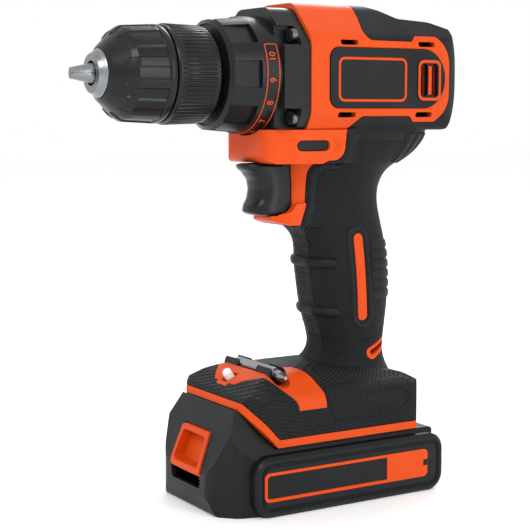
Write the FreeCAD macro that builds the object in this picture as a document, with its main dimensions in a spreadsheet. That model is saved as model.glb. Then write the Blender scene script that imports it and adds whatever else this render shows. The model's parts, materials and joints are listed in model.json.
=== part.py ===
import FreeCAD, Part

import math
import os

import Sketcher
from FreeCAD import Placement, Rotation, Vector

# Cordless drill.  Millimetres, +Z up.  The spindle runs along X with the chuck at -X, the
# drill's left side is -Y, and the origin is the middle of the battery's flat base.

doc = FreeCAD.newDocument("cordless_drill")
sheet = doc.addObject("Spreadsheet::Sheet", "dims")

DRIVING = {
    # overall places
    "spindle_z": (192.5, "height of the spindle axis above the base"),
    "barrel_front": (6.5, "front edge of the motor housing"),
    "barrel_rear": (95.5, "rearmost point of the motor housing"),
    "barrel_top": (224.6, "top of the motor housing"),
    "barrel_bottom": (168.0, "underside of the motor housing"),
    "barrel_half": (28.2, "half the width of the motor housing"),
    "wall": (3.2, "housing wall, overmould included"),
    "skin": (1.3, "overmould thickness"),
    "groove": (0.35, "gap round the overmould and the inlaid panels"),
    # chuck
    "tip_x": (-95.0, "jaw tips"),
    "nose_x": (-85.9, "flat nose of the chuck"),
    "sleeve_split": (-54.9, "gap between the two chuck sleeves"),
    "chuck_rear": (-34.0, "rear of the chuck"),
    "sleeve_rad": (20.6, "grip radius of the chuck sleeves"),
    "jaw_rad": (3.3, "radius of a jaw's shank"),
    "jaw_angle": (13.5, "angle of the jaws to the spindle"),
    "jaw_long": (36.0, "length of a jaw"),
    "thread_rad": (4.76, "spindle thread that carries the chuck"),
    # torque collar
    "collar_front": (-31.4, "front rim of the torque collar"),
    "collar_rear": (-7.2, "rear rim of the torque collar"),
    "collar_rad": (26.2, "largest radius of the torque collar"),
    "collar_bore": (21.6, "bore of the torque collar"),
    # gearbox and motor
    "ring_rad": (19.2, "outside of the ring gears"),
    "case_bore": (19.2, "bore of the gearbox case"),
    "case_rad": (21.4, "outside of the gearbox case behind the flange"),
    "gear_module": (0.6, "module of every gear"),
    "stage_wide": (8.0, "face width of one gear stage"),
    "rear_stage": (17.0, "front face of the motor-side gear stage"),
    "front_stage": (4.0, "front face of the spindle-side gear stage"),
    "motor_front": (30.5, "front face of the motor can"),
    "motor_long": (50.0, "length of the motor can"),
    "motor_rad": (18.4, "radius of the motor can"),
    "spindle_rad": (6.0, "radius of the spindle in its bearing"),
    # trigger and switch
    "trigger_half": (9.6, "half the width of the trigger"),
    "trigger_travel": (6.0, "travel of the trigger"),
    # foot and battery
    "foot_half": (33.6, "half the width of the foot"),
    "foot_floor": (29.6, "underside of the foot"),
    "foot_rear": (66.0, "rear face of the foot"),
    "battery_front": (-42.4, "front of the battery"),
    "battery_rear": (72.5, "rear of the battery between its pads"),
    "pad_front": (-27.7, "front of the battery's side pads"),
    "pad_rear": (75.0, "rear of the battery's side pads"),
    "pad_top": (27.0, "top of the battery's side pads"),
    "battery_half": (38.0, "half the width across the side pads"),
    "battery_seam": (13.6, "joint between the battery's tray and cover"),
    "battery_wall": (2.2, "wall of the battery"),
    "cell_rad": (9.15, "radius of a battery cell"),
    "cell_long": (65.0, "length of a battery cell"),
    "cell_pitch": (18.7, "spacing of the battery cells"),
}


class Size(float):
    """A number that remembers the sheet formula it comes from, so a feature can be bound to it."""

    def __new__(cls, value, formula):
        size = super().__new__(cls, value)
        size.formula = formula
        return size

    def joined(self, other, sign, result, swapped=False):
        first, second = (formula(other), self.formula) if swapped else (self.formula, formula(other))
        return Size(result, f"({first} {sign} {second})")

    def __add__(self, other):
        return self.joined(other, "+", float(self) + float(other))

    def __radd__(self, other):
        return self.joined(other, "+", float(other) + float(self), True)

    def __sub__(self, other):
        return self.joined(other, "-", float(self) - float(other))

    def __rsub__(self, other):
        return self.joined(other, "-", float(other) - float(self), True)

    def __mul__(self, other):
        return self.joined(other, "*", float(self) * float(other))

    def __rmul__(self, other):
        return self.joined(other, "*", float(other) * float(self), True)

    def __truediv__(self, other):
        return self.joined(other, "/", float(self) / float(other))

    def __neg__(self):
        return Size(-float(self), f"(0 - {self.formula})")


def formula(value):
    return getattr(value, "formula", f"{float(value):.6g}")


class Dims:
    """The sheet's cells by alias, each as a Size."""


d = Dims()
for row, (alias, (value, meaning)) in enumerate(DRIVING.items(), start=1):
    sheet.set(f"A{row}", meaning)
    sheet.set(f"B{row}", str(value))
    sheet.setAlias(f"B{row}", alias)
    setattr(d, alias, Size(value, f"dims.{alias}"))
doc.recompute()

nodes = {}


def bind(feature, **sizes):
    """Set properties of a feature, bound to the sheet wherever the size comes from it."""
    for name, size in sizes.items():
        setattr(feature, name, float(size))
        if hasattr(size, "formula"):
            feature.setExpression(name, size.formula)


def place(feature, x=0.0, y=0.0, z=0.0, turn=None):
    feature.Placement = Placement(Vector(x, y, z), turn or Rotation())
    for axis, size in (("x", x), ("y", y), ("z", z)):
        if hasattr(size, "formula"):
            feature.setExpression(f"Placement.Base.{axis}", size.formula)


def keep(name, feature):
    """Name a finished sub-part: its label is its node and its file."""
    feature.Label = name
    nodes[name] = feature
    return feature


def solid_feature(name, shape):
    """A sub-part whose free-form shape is worked out below from the sheet's values."""
    feature = doc.addObject("Part::Feature", name)
    feature.Shape = shape
    return keep(name, feature)


# ---------------------------------------------------------------- sketches and bodies

def new_body(name):
    return doc.addObject("PartDesign::Body", name)


def new_sketch(body, plane, offset=0.0):
    """A sketch on one of the body's own origin planes, moved out along its normal."""
    sketch = body.newObject("Sketcher::SketchObject", body.Name + "_sketch")
    origin_plane = next(o for o in body.Origin.OriginFeatures if o.Role == plane)
    sketch.AttachmentSupport = [(origin_plane, "")]
    sketch.MapMode = "FlatFace"
    if float(offset):
        sketch.AttachmentOffset = Placement(Vector(0, 0, float(offset)), Rotation())
        if hasattr(offset, "formula"):
            sketch.setExpression("AttachmentOffset.Base.z", offset.formula)
    return sketch


def sketch_outline(sketch, points):
    """A closed outline whose corners are dimensioned from the sketch's origin."""
    first = sketch.GeometryCount
    count = len(points)
    corners = [Vector(float(a), float(b), 0) for a, b in points]
    for i in range(count):
        sketch.addGeometry(Part.LineSegment(corners[i], corners[(i + 1) % count]), False)
    for i in range(count):
        line, following = first + i, first + (i + 1) % count
        sketch.addConstraint(Sketcher.Constraint("Coincident", line, 2, following, 1))
    for i, point in enumerate(points):
        for kind, size in zip(("DistanceX", "DistanceY"), point):
            constraint = Sketcher.Constraint(kind, -1, 1, first + i, 1, float(size))
            index = sketch.addConstraint(constraint)
            if hasattr(size, "formula"):
                sketch.setExpression(f"Constraints[{index}]", size.formula)


def turned_body(name, outline, height=None):
    """A body turned about the spindle axis from an outline of (x, radius) corners."""
    body = new_body(name)
    sketch = new_sketch(body, "XZ_Plane")
    sketch_outline(sketch, outline)
    revolve = body.newObject("PartDesign::Revolution", name + "_turn")
    revolve.Profile = sketch
    revolve.ReferenceAxis = (sketch, ["H_Axis"])
    revolve.Angle = 360.0
    place(body, 0.0, 0.0, d.spindle_z if height is None else height)
    doc.recompute()
    return body


def pocket_round(body, plane, outline, length, offset, count, reverse=True, axis="X_Axis"):
    """Cut one pocket into a body and repeat it round one of the body's own axes."""
    before = body.Shape.Volume
    sketch = new_sketch(body, plane, offset)
    sketch_outline(sketch, outline)
    pocket = body.newObject("PartDesign::Pocket", body.Name + "_pocket")
    pocket.Profile = sketch
    pocket.Reversed = reverse
    bind(pocket, Length=length)
    doc.recompute()
    pattern = body.newObject("PartDesign::PolarPattern", body.Name + "_pattern")
    pattern.Originals = [pocket]
    pattern.Axis = (next(o for o in body.Origin.OriginFeatures if o.Role == axis), [""])
    pattern.Angle = 360.0
    pattern.Occurrences = count
    body.Tip = pattern
    doc.recompute()
    if body.Shape.Volume > before - 0.01:
        raise ValueError(f"{body.Name}: the pocket cuts nothing")
    return body


# ---------------------------------------------------------------- primitives and booleans

TURN_TO_X = Rotation(Vector(0, 1, 0), 90)
TURN_TO_Y = Rotation(Vector(1, 0, 0), -90)


def rod(name, radius, length, x, y=0.0, z=0.0, turn=TURN_TO_X):
    """A cylinder along X, unless turned another way, starting at its place."""
    feature = doc.addObject("Part::Cylinder", name)
    bind(feature, Radius=radius, Height=length)
    place(feature, x, y, z, turn)
    return feature


def block(name, low, high):
    """A box between two corners."""
    feature = doc.addObject("Part::Box", name)
    bind(feature, Length=high[0] - low[0], Width=high[1] - low[1], Height=high[2] - low[2])
    place(feature, *low)
    return feature


def cut(name, base, *tools):
    feature = doc.addObject("Part::Cut", name)
    feature.Base = base
    feature.Tool = tools[0] if len(tools) == 1 else fuse(name + "_tools", *tools)
    return feature


def fuse(name, *shapes):
    feature = doc.addObject("Part::MultiFuse", name)
    feature.Shapes = list(shapes)
    return feature


def group(name, *shapes):
    """Separate solids that share one node."""
    feature = doc.addObject("Part::Compound", name)
    feature.Links = list(shapes)
    return feature


# ---------------------------------------------------------------- free-form shapes

PLANES = {
    "XZ": lambda a, b, at: Vector(a, at, b),
    "XY": lambda a, b, at: Vector(a, b, at),
    "YZ": lambda a, b, at: Vector(at, a, b),
}
NORMALS = {"XZ": Vector(0, 1, 0), "XY": Vector(0, 0, 1), "YZ": Vector(1, 0, 0)}


def rounded_wire(corners, plane, at):
    """A closed wire through corners of (a, b) or (a, b, radius), each radius an arc."""
    flat = [(float(c[0]), float(c[1]), float(c[2]) if len(c) > 2 else 0.0) for c in corners]
    to_space = PLANES[plane]
    stations = []
    for i, (a, b, radius) in enumerate(flat):
        here = Vector(a, b, 0)
        back = (Vector(flat[i - 1][0], flat[i - 1][1], 0) - here).normalize()
        ahead_point = flat[(i + 1) % len(flat)]
        ahead = (Vector(ahead_point[0], ahead_point[1], 0) - here).normalize()
        half = back.getAngle(ahead) / 2
        if radius <= 0 or half > math.radians(89.5):
            stations.append((here, None, here))
            continue
        reach = radius / math.tan(half)
        middle = here + (back + ahead).normalize() * (radius / math.sin(half) - radius)
        stations.append((here + back * reach, middle, here + ahead * reach))
    edges = []
    for i, (start, _, end) in enumerate(stations):
        corner, onward = (Vector(*flat[j % len(flat)][:2], 0) for j in (i, i + 1))
        used = end.distanceToPoint(corner) + stations[(i + 1) % len(stations)][0].distanceToPoint(onward)
        if used > corner.distanceToPoint(onward) + 1e-6:
            raise ValueError(f"arcs overlap between {flat[i]} and {flat[(i + 1) % len(flat)]}")
    for i, (start, middle, end) in enumerate(stations):
        if middle is not None:
            arc = [to_space(p.x, p.y, at) for p in (start, middle, end)]
            edges.append(Part.Arc(*arc).toShape())
        onward = stations[(i + 1) % len(stations)][0]
        if end.distanceToPoint(onward) > 1e-4:
            edges.append(Part.makeLine(to_space(end.x, end.y, at), to_space(onward.x, onward.y, at)))
    return Part.Wire(edges)


def prism(corners, plane, start, end, grow=0.0):
    """A rounded outline, grown or shrunk in its plane, extruded from start to end."""
    wire = rounded_wire(corners, plane, float(start))
    if grow:
        wire = wire.makeOffset2D(float(grow), 2 if grow > 0 else 0)
    return Part.Face(wire).extrude(NORMALS[plane] * (float(end) - float(start)))


def box_between(low, high):
    size = [float(b) - float(a) for a, b in zip(low, high)]
    return Part.makeBox(*size, Vector(*[float(a) for a in low]))


def cylinder_along(direction, radius, start, length):
    return Part.makeCylinder(float(radius), float(length), Vector(*[float(v) for v in start]), direction)


def mirrored(shape):
    return shape.mirror(Vector(0, 0, 0), Vector(0, 1, 0))


# ---------------------------------------------------------------- housing shells and overmould

LEFT = -45.0    # beyond the outside of the left half
HANDLE_SECTIONS = [
    # z, front x, rear x, half width
    (50.0, 8.0, 63.0, 29.0), (55.5, 17.0, 61.6, 24.0), (60.0, 24.0, 60.6, 19.5),
    (65.0, 27.3, 60.2, 17.4), (72.0, 26.9, 61.2, 16.6), (82.0, 23.8, 62.6, 17.2),
    (93.0, 21.6, 63.3, 17.8), (104.0, 20.0, 63.0, 17.9), (114.0, 19.4, 61.9, 17.5),
    (121.0, 16.0, 60.5, 17.1), (126.5, 8.6, 59.4, 16.9), (132.0, 5.2, 58.3, 16.8),
    (139.0, 4.8, 57.8, 17.0), (146.0, 4.8, 59.9, 18.0), (152.0, 4.8, 66.3, 20.0),
    (158.0, 4.8, 76.5, 22.3), (164.0, 5.6, 82.0, 24.2), (170.0, 9.0, 83.6, 25.2),
]
SQUARENESS = 2.7    # exponent of the handle's rounded section
# the hollow under the guard, cut from the front of the handle
BELOW_GUARD = [(-20, 108), (-20, 128.4), (-2, 127.6), (6, 125.2), (13.2, 124.5, 2), (18.2, 119.5, 4),
               (18.2, 108)]


def half_section(z, front, rear, half, inset):
    """One side of a handle section at height z: a squared ellipse, closed along the middle."""
    front, rear, half = front + inset, rear - inset, half - inset
    centre, reach = (front + rear) / 2, (rear - front) / 2
    points = []
    for step in range(13):
        angle = math.pi * step / 12
        a = math.copysign(abs(math.cos(angle)) ** (2 / SQUARENESS), math.cos(angle))
        b = math.sin(angle) ** (2 / SQUARENESS) if 0 < step < 12 else 0.0
        points.append(Vector(centre + reach * a, -half * b, z))
    curve = Part.BSplineCurve()
    curve.interpolate(Points=points, InitialTangent=Vector(0, -1, 0), FinalTangent=Vector(0, 1, 0))
    return Part.Wire([curve.toShape(), Part.makeLine(points[-1], points[0])])


def half_handle(inset):
    wires = [half_section(z, front, rear, half, inset) for z, front, rear, half in HANDLE_SECTIONS]
    return Part.makeLoft(wires, True, False).cut(prism(BELOW_GUARD, "XZ", LEFT, 1, inset))


def half_barrel(inset):
    side = prism([(6.5, 168), (6.5, 224.6), (45, 224.6, 3), (51.5, 222.6, 8), (60, 218.9, 8), (77, 217.8, 15),
                  (90.5, 213.4, 9), (95.5, 204, 12), (95.5, 189, 20), (90.5, 172.5, 12), (84, 168, 4)],
                 "XZ", LEFT, 0, -inset)
    ends = prism([(-12.5, 224.6, 9), (-28.2, 208.5, 10), (-28.2, 175.5, 9), (-24.2, 168, 4), (30, 168),
                  (30, 224.6)], "YZ", 0, 100, -inset)
    plan = prism([(0, -28.2), (83, -28.2, 22), (95.5, -19, 14), (95.5, 30), (0, 30)], "XY", 160, 230, -inset)
    ball = Part.makeSphere(56.6 - inset, Vector(39.6, 0, float(d.spindle_z)))
    return side.common(ends).common(plan).common(ball)


def half_chin(inset):
    plan = prism([(-11, 30), (-11, -17.8, 8), (4, -24.4, 18), (34, -25.4), (34, 30)], "XY", 145, 176, -inset)
    side = prism([(-11, 176), (-11, 153.4, 5.5), (34, 153.4), (34, 176)], "XZ", LEFT, 0, -inset)
    top = box_between((-30, -40, 150), (40, 40, 168.45 - inset))
    return plan.common(side).common(top)


def half_guard(inset):
    """The lip under the trigger."""
    side = prism([(-2.4, 129.3, 0.6), (-1.6, 127.4, 0.8), (6, 125.0), (20, 124.3), (20, 136), (8, 135),
                  (5.4, 131.4, 4)], "XZ", LEFT, 0, -inset)
    plan = prism([(-2.4, 30), (-2.4, -7.5, 5), (4, -13.6, 8), (20, -16.2), (20, 30)], "XY", 120, 140, -inset)
    return side.common(plan)


def half_foot(inset):
    side = prism([(66, 29.6), (-13.9, 29.6), (-29.2, 46.6), (-26.6, 51.6, 2), (-19.5, 56.8, 8), (-9, 60.2, 25),
                  (22, 60.9, 30), (59, 55.5, 12), (66, 51, 6)], "XZ", LEFT, 0, -inset)
    ends = prism([(30, 20), (-33.6, 20), (-33.6, 49.5, 8), (-21, 58.8, 16), (-8, 61.4, 40), (30, 61.4)],
                 "YZ", -60, 80, -inset)
    plan = prism([(-29.2, 30), (-29.2, -24.5, 8), (-19.5, -33.6, 8), (62, -33.6), (66, -28, 6), (66, 30)],
                 "XY", 20, 70, -inset)
    return side.common(ends).common(plan)


def half_housing(inset):
    others = [half_handle(inset), half_chin(inset), half_guard(inset), half_foot(inset)]
    return half_barrel(inset).fuse(others)


def zone(corners, start=LEFT, end=1.0, grow=0.0):
    """A region of the left side, seen from the side."""
    return prism(corners, "XZ", start, end, grow)


OVERMOULD = [
    # the grip's edge against the shell, from the top of the barrel down to the guard
    (38.6, 232), (37.6, 218.5, 6), (35.4, 208.6, 4), (61.5, 208.4, 2), (64.0, 211.2, 2), (76.6, 211.2, 3),
    (84.6, 202, 12), (84.6, 180.5, 12), (76, 171.4, 3), (63.4, 171.4, 2), (60.5, 174.1, 2), (34.2, 174.1, 2),
    (27.8, 168.4, 2), (26.2, 154.4, 6.5), (12.8, 154.4, 6.5), (12.6, 134), (9.8, 125.0),
    # below the guard the grip wraps the front of the handle, and the foot down to its band
    (-40, 125.0), (-40, 50.4), (-28.2, 50.4), (-13.0, 33.4, 2), (110, 33.4), (110, 232),
]
STRIPE = [(36.6, 120.9, 2.7), (42.2, 120.9, 2.7), (45.6, 79.4, 2.7), (40.0, 79.4, 2.7)]
LANYARD = [(43.6, 65.6, 3), (60.6, 72.4, 0.6), (60.6, 66.0, 0.6), (45.6, 59.8, 3)]
LANYARD_SLOT = [(46.4, 64.8, 1.1), (57.4, 69.2, 1.1), (57.4, 66.8, 1.1), (47.4, 62.6, 1.1)]
FOOT_PANEL = [(-22.5, 3), (-22.5, -9, 3), (-13, -21, 3), (-6.5, -30.5, 3), (2, -38), (12, -38), (12, -30, 4),
              (7.5, -12, 8), (-1.0, -9.0, 4), (-3.5, 3)]
LAMP_AT = (-19.2, 0.0, 56.6)
PANEL = [(15.8, 177.8, 5), (15.8, 205.0, 5), (80.4, 205.0, 13), (80.4, 177.8, 13)]
VENT_SLOTS = [[(66.0, 183.2, 1.6), (66.0, 198.2, 1.6), (69.6, 198.2, 1.6), (69.6, 183.2, 1.6)],
              [(72.0, 183.2, 1.6), (72.0, 198.2, 1.6), (75.6, 198.2, 1.6), (75.6, 183.2, 1.6)]]
SMALL_SLOTS = [(22.0, 205.9), (65.0, 205.9), (20.8, 173.9), (63.8, 173.9)]
SLOT_LONG, SLOT_HIGH = 9.6, 2.3
BUTTON_WINDOW = [(2.0, 159.0, 2.3), (2.0, 163.8, 2.3), (18.6, 163.8, 2.3), (18.6, 159.0, 2.3)]
SCREW_PLACES = [(72.0, 161.0), (15.6, 127.9), (36.0, 68.0), (89.0, 206.0), (57.0, 41.0), (-20.0, 47.5)]
BOSS_RAD, SCREW_RAD = 4.3, 1.5
CORNER_SCREWS = [(-21.6, 209.6), (21.6, 209.6), (-22.2, 173.6), (22.2, 173.6)]    # y and z
CORNER_RAD, CORNER_END = 1.65, 13.6

outer = half_housing(0.0)
under_skin = half_housing(float(d.skin))
cavity = half_housing(float(d.wall))

panel_depth = 1.6
panel_floor = -float(d.barrel_half) + panel_depth
vents = [zone(slot) for slot in VENT_SLOTS]
small_slots = [zone([(x, z, 1), (x, z + SLOT_HIGH, 1), (x + SLOT_LONG, z + SLOT_HIGH, 1), (x + SLOT_LONG, z, 1)],
                    LEFT, -20) for x, z in SMALL_SLOTS]
lanyard_hole = zone(LANYARD_SLOT)
lamp_hole = prism([(-3.4, -3), (-3.4, 3), (3.4, 3), (3.4, -3)], "XY", -6, 8)
lamp_hole.Placement = Placement(Vector(*LAMP_AT), Rotation(Vector(0, 1, 0), -35))


surround = prism([(-5.6, -4.6, 1), (-5.6, 4.6, 1), (5.6, 4.6, 1), (5.6, -4.6, 1)], "XY", -9, 9)
surround.Placement = lamp_hole.Placement


def skin_region(grow):
    """The overmould on the left half; grow widens it for the groove that the shell leaves round it."""
    skin = outer.common(zone(OVERMOULD, LEFT, 1, grow)).cut(under_skin)
    windows = [zone(STRIPE, LEFT, 1, -grow), zone(LANYARD, LEFT, 1, -grow),
               prism(FOOT_PANEL, "XY", 45, 70, -grow), surround]
    return skin.cut(windows)


def left_shell_shape():
    openings = [
        zone(PANEL, LEFT, panel_floor),
        box_between((-1, -22.0, 174), (9.6, 1, 213)),
        cylinder_along(Vector(1, 0, 0), 21.7, (0, 0, d.spindle_z), 32),
        cylinder_along(Vector(1, 0, 0), d.collar_rad + 0.6, (-40, 0, d.spindle_z), 33.2),
        box_between((-20, -10.2, 129.6), (12, 1, 153.6)),
        box_between((-40, -21.4, 20), (-4, 1, 37.6)),
        box_between((-14, -17.6, 20), (44, 1, 34)),
        zone(BUTTON_WINDOW),
        lanyard_hole,
        lamp_hole,
    ]
    shell = outer.cut(cavity).cut(openings + vents + small_slots)
    return shell.cut(skin_region(float(d.groove)))


BIT_AT = (-6.0, 58.9)    # x and z of the stored driver bit, which lies along Y
BIT_LONG, BIT_NEAR = 50.0, -27.0
CLIP_RAD = 4.6


def left_supports():
    """Screw bosses and the trough under the driver bit, inside the left shell."""
    supports = [cylinder_along(Vector(0, 1, 0), BOSS_RAD, (x, -32, z), 32) for x, z in SCREW_PLACES]
    supports += [cylinder_along(Vector(1, 0, 0), 3.4, (6, y, z), 9.0) for y, z in CORNER_SCREWS if y < 0]
    supports.append(box_between((-12.5, -24, 52), (0.5, 0, 62)))
    return [support.common(cavity) for support in supports]


def bit_channel():
    x, z = BIT_AT
    round_part = cylinder_along(Vector(0, 1, 0), CLIP_RAD, (x, -36, z), 37)
    return round_part.fuse(box_between((x - CLIP_RAD, -36, z), (x + CLIP_RAD, 1, z + 12)))


channel = bit_channel()
screw_holes = [cylinder_along(Vector(0, 1, 0), SCREW_RAD, (x, -11, z), 11) for x, z in SCREW_PLACES]
screw_holes += [cylinder_along(Vector(1, 0, 0), CORNER_RAD, (-2, y, z), CORNER_END + 2.4)
                for y, z in CORNER_SCREWS if y < 0]
shell_half = left_shell_shape().fuse(left_supports()).cut(screw_holes + [channel, lamp_hole])
skin_half = skin_region(0.0).cut(vents + small_slots + [lanyard_hole, channel])

HEAD_RAD, WELL_RAD = 2.8, 3.1
HEAD_Y, SHANK_END = 11.0, -10.0    # screw head seat and far end of the screw
wells = [cylinder_along(Vector(0, 1, 0), WELL_RAD, (x, HEAD_Y, z), 30) for x, z in SCREW_PLACES]
right_bores = [cylinder_along(Vector(0, 1, 0), SCREW_RAD + 0.2, (x, -1, z), 14) for x, z in SCREW_PLACES]

solid_feature("left_shell", shell_half)
solid_feature("right_shell", mirrored(shell_half).cut(wells + right_bores))
solid_feature("left_grip", skin_half)
solid_feature("right_grip", mirrored(skin_half).cut(wells))

# side panels with their framed vents
VENT_FRAME = [(64.0, 181.2, 3), (64.0, 200.2, 3), (77.6, 200.2, 3), (77.6, 181.2, 3)]
panel_shape = zone(PANEL, -float(d.barrel_half) - 0.5, panel_floor, -float(d.groove))
panel_shape = panel_shape.cut([zone(VENT_FRAME), *small_slots])
grille_shape = zone(VENT_FRAME, -float(d.barrel_half) - 0.9, panel_floor, -0.2).cut(vents)
solid_feature("left_panel", panel_shape)
solid_feature("right_panel", mirrored(panel_shape))
solid_feature("vent_grilles", Part.makeCompound([grille_shape, mirrored(grille_shape)]))


def housing_screw(x, z):
    """A pan-head screw across the joint between the shells, driven from the right."""
    shank = cylinder_along(Vector(0, 1, 0), SCREW_RAD - 0.02, (x, SHANK_END, z), HEAD_Y - SHANK_END)
    head = cylinder_along(Vector(0, 1, 0), HEAD_RAD, (x, HEAD_Y, z), 2.2)
    recess = cylinder_along(Vector(0, 1, 0), 1.3, (x, HEAD_Y + 1, z), 2)
    return shank.fuse(head).cut(recess)


solid_feature("housing_screws", Part.makeCompound([housing_screw(x, z) for x, z in SCREW_PLACES]))


# ---------------------------------------------------------------- gears

PRESSURE = math.radians(25)
ADDENDUM, DEDENDUM = 0.8, 1.05    # in modules
PLAY = 0.035                      # taken from each flank, in millimetres
SUN_TEETH, PLANET_TEETH, RING_TEETH = 12, 21, 54
CENTRES = 0.5 * d.gear_module * (SUN_TEETH + PLANET_TEETH)
PLANET_ANGLES = [math.radians(120 * k) for k in range(3)]


def involute(angle):
    return math.tan(angle) - angle


def gear_face(teeth, x, addendum, dedendum, play, centre=(0.0, 0.0), phase=0.0):
    """A spur gear's outline at x, about a centre measured from the spindle axis."""
    pitch = float(d.gear_module) * teeth / 2
    base = pitch * math.cos(PRESSURE)
    tip, root = pitch + addendum * float(d.gear_module), pitch - dedendum * float(d.gear_module)
    start = max(base, root)
    points = []
    for tooth in range(teeth):
        middle = phase + 2 * math.pi * tooth / teeth
        flank = []
        for i in range(5):
            radius = start + (tip - start) * i / 4
            at_radius = math.acos(min(1.0, base / radius))
            half = math.pi / (2 * teeth) + involute(PRESSURE) - involute(at_radius) - play / pitch
            flank.append((radius, half))
        if root < base:
            flank.insert(0, (root, flank[0][1]))
        points += [(r, middle - half) for r, half in flank]
        points += [(r, middle + half) for r, half in reversed(flank)]
    place_point = [Vector(x, centre[0] + r * math.cos(a), float(d.spindle_z) + centre[1] + r * math.sin(a))
                   for r, a in points]
    return Part.Face(Part.makePolygon(place_point + place_point[:1]))


def spur_gear(teeth, x, wide, centre=(0.0, 0.0), phase=0.0, bore=0.0):
    solid = gear_face(teeth, float(x), ADDENDUM, DEDENDUM, PLAY, centre, phase).extrude(Vector(float(wide), 0, 0))
    if bore:
        start = (float(x) - 1, centre[0], float(d.spindle_z) + centre[1])
        solid = solid.cut(cylinder_along(Vector(1, 0, 0), bore, start, float(wide) + 2))
    return solid


def ring_gear(x):
    start = (x, 0, d.spindle_z)
    blank = cylinder_along(Vector(1, 0, 0), float(d.ring_rad) - 0.02, start, d.stage_wide)
    teeth = gear_face(RING_TEETH, float(x) - 1, DEDENDUM, ADDENDUM, -PLAY).extrude(Vector(float(d.stage_wide) + 2, 0, 0))
    return blank.cut(teeth)


def planet_place(k):
    angle = PLANET_ANGLES[k]
    return CENTRES * math.cos(angle), CENTRES * math.sin(angle)


def planet_phase(k):
    """Turns planet k so that a gap of its teeth meets the sun's tooth at rest."""
    angle = PLANET_ANGLES[k]
    return angle + math.pi - math.pi / PLANET_TEETH + angle * SUN_TEETH / PLANET_TEETH


PIN_RAD, PLANET_BORE = 2.0, 2.05


def planet(k, stage_front):
    y, z = planet_place(k)
    wide = d.stage_wide - 0.6
    return spur_gear(PLANET_TEETH, stage_front + 0.3, wide, (float(y), float(z)), planet_phase(k), PLANET_BORE)


def carrier_pins(start, length):
    pins = []
    for k in range(3):
        y, z = planet_place(k)
        pins.append(cylinder_along(Vector(1, 0, 0), PIN_RAD, (start, y, d.spindle_z + z), length))
    return pins


solid_feature("ring_gear_front", ring_gear(d.front_stage))
solid_feature("ring_gear_rear", ring_gear(d.rear_stage))
for k in range(3):
    solid_feature(f"front_planet_{k + 1}", planet(k, d.front_stage))
    solid_feature(f"rear_planet_{k + 1}", planet(k, d.rear_stage))

carrier_disc = cylinder_along(Vector(1, 0, 0), 13.2, (13.0, 0, d.spindle_z), 3.0)
sun = spur_gear(SUN_TEETH, d.front_stage, 9.2)
solid_feature("middle_carrier", carrier_disc.fuse([sun, *carrier_pins(15.5, 9.2)]))


# ---------------------------------------------------------------- gearbox, clutch and spindle

FLANGE = [(-12.6, 222.2, 8), (-27.4, 206.5, 6), (-27.4, 175.5, 6), (-23.0, 168.6, 4), (23.0, 168.6, 4),
          (27.4, 175.5, 6), (27.4, 206.5, 6), (12.6, 222.2, 8)]
flange = Part.show(prism(FLANGE, "YZ", d.collar_rear + 0.2, d.barrel_front), "flange")
case_tube = rod("case_tube", d.case_rad, 29.5 - d.barrel_front + 1, d.barrel_front - 1, 0, d.spindle_z)
nose_tube = rod("nose_tube", 17.1, 25.0, -30.8, 0, d.spindle_z)
pockets = []
screw_list = []
for number, (y, z) in enumerate(CORNER_SCREWS, start=1):
    outward = 1 if y > 0 else -1
    upward = 1 if z > d.spindle_z else -1
    low_y, high_y = sorted((y - 3.6 * outward, y + 9 * outward))
    low_z, high_z = sorted((z - 4.2 * upward, z + 4.2 * upward))
    pockets.append(block(f"screw_pocket_{number}", (-8.0, low_y, low_z), (1.6, high_y, high_z)))
    pockets.append(rod(f"screw_way_{number}", 1.7, 12.0, 0.0, y, z))
    head = rod(f"corner_head_{number}", 2.9, 2.6, -1.0, y, z)
    shank = rod(f"corner_shank_{number}", CORNER_RAD - 0.02, CORNER_END - 1.6, 1.6, y, z)
    drive = rod(f"corner_drive_{number}", 1.3, 1.6, -1.0, y, z)
    screw_list.append(cut(f"corner_screw_{number}", fuse(f"corner_body_{number}", head, shank), drive))
bores = [
    rod("bearing_seat", 11.0, 10.0, -31.0, 0, d.spindle_z),
    rod("spindle_way", 8.5, 22.0, -21.2, 0, d.spindle_z),
    rod("carrier_well", 14.5, 4.2, 0.0, 0, d.spindle_z),
    rod("ring_bore", d.case_bore, 30.0, 3.9, 0, d.spindle_z),
]
PIN_CIRCLE, PIN_COUNT = 18.0, 6
clutch_pin_list = []
for number in range(PIN_COUNT):
    angle = math.radians(30 + 60 * number)
    y, z = PIN_CIRCLE * math.cos(angle), PIN_CIRCLE * math.sin(angle)
    bores.append(rod(f"pin_way_{number}", 1.55, 12.0, -7.5, y, d.spindle_z + z))
    shaft = rod(f"pin_shaft_{number}", 1.5, 9.4, -6.9, y, d.spindle_z + z)
    ball = doc.addObject("Part::Sphere", f"pin_ball_{number}")
    bind(ball, Radius=1.45)
    place(ball, 2.3, y, d.spindle_z + z)
    clutch_pin_list.append(fuse(f"clutch_pin_{number}", shaft, ball))
case_solid = fuse("case_solid", flange, case_tube, nose_tube)
keep("gearbox_case", cut("gearbox_case", case_solid, *pockets, *bores))
keep("gearbox_screws", group("gearbox_screws", *screw_list))
keep("clutch_pins", group("clutch_pins", *clutch_pin_list))

keep("front_bearing", turned_body("front_bearing", [
    (-28.6, d.spindle_rad + 0.03), (-28.6, 11.0), (-21.4, 11.0), (-21.4, d.spindle_rad + 0.03)]))
keep("gearbox_plate", turned_body("gearbox_plate", [
    (26.4, 6.6), (26.4, d.case_bore - 0.05), (29.4, d.case_bore - 0.05), (29.4, 6.6)]))

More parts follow.
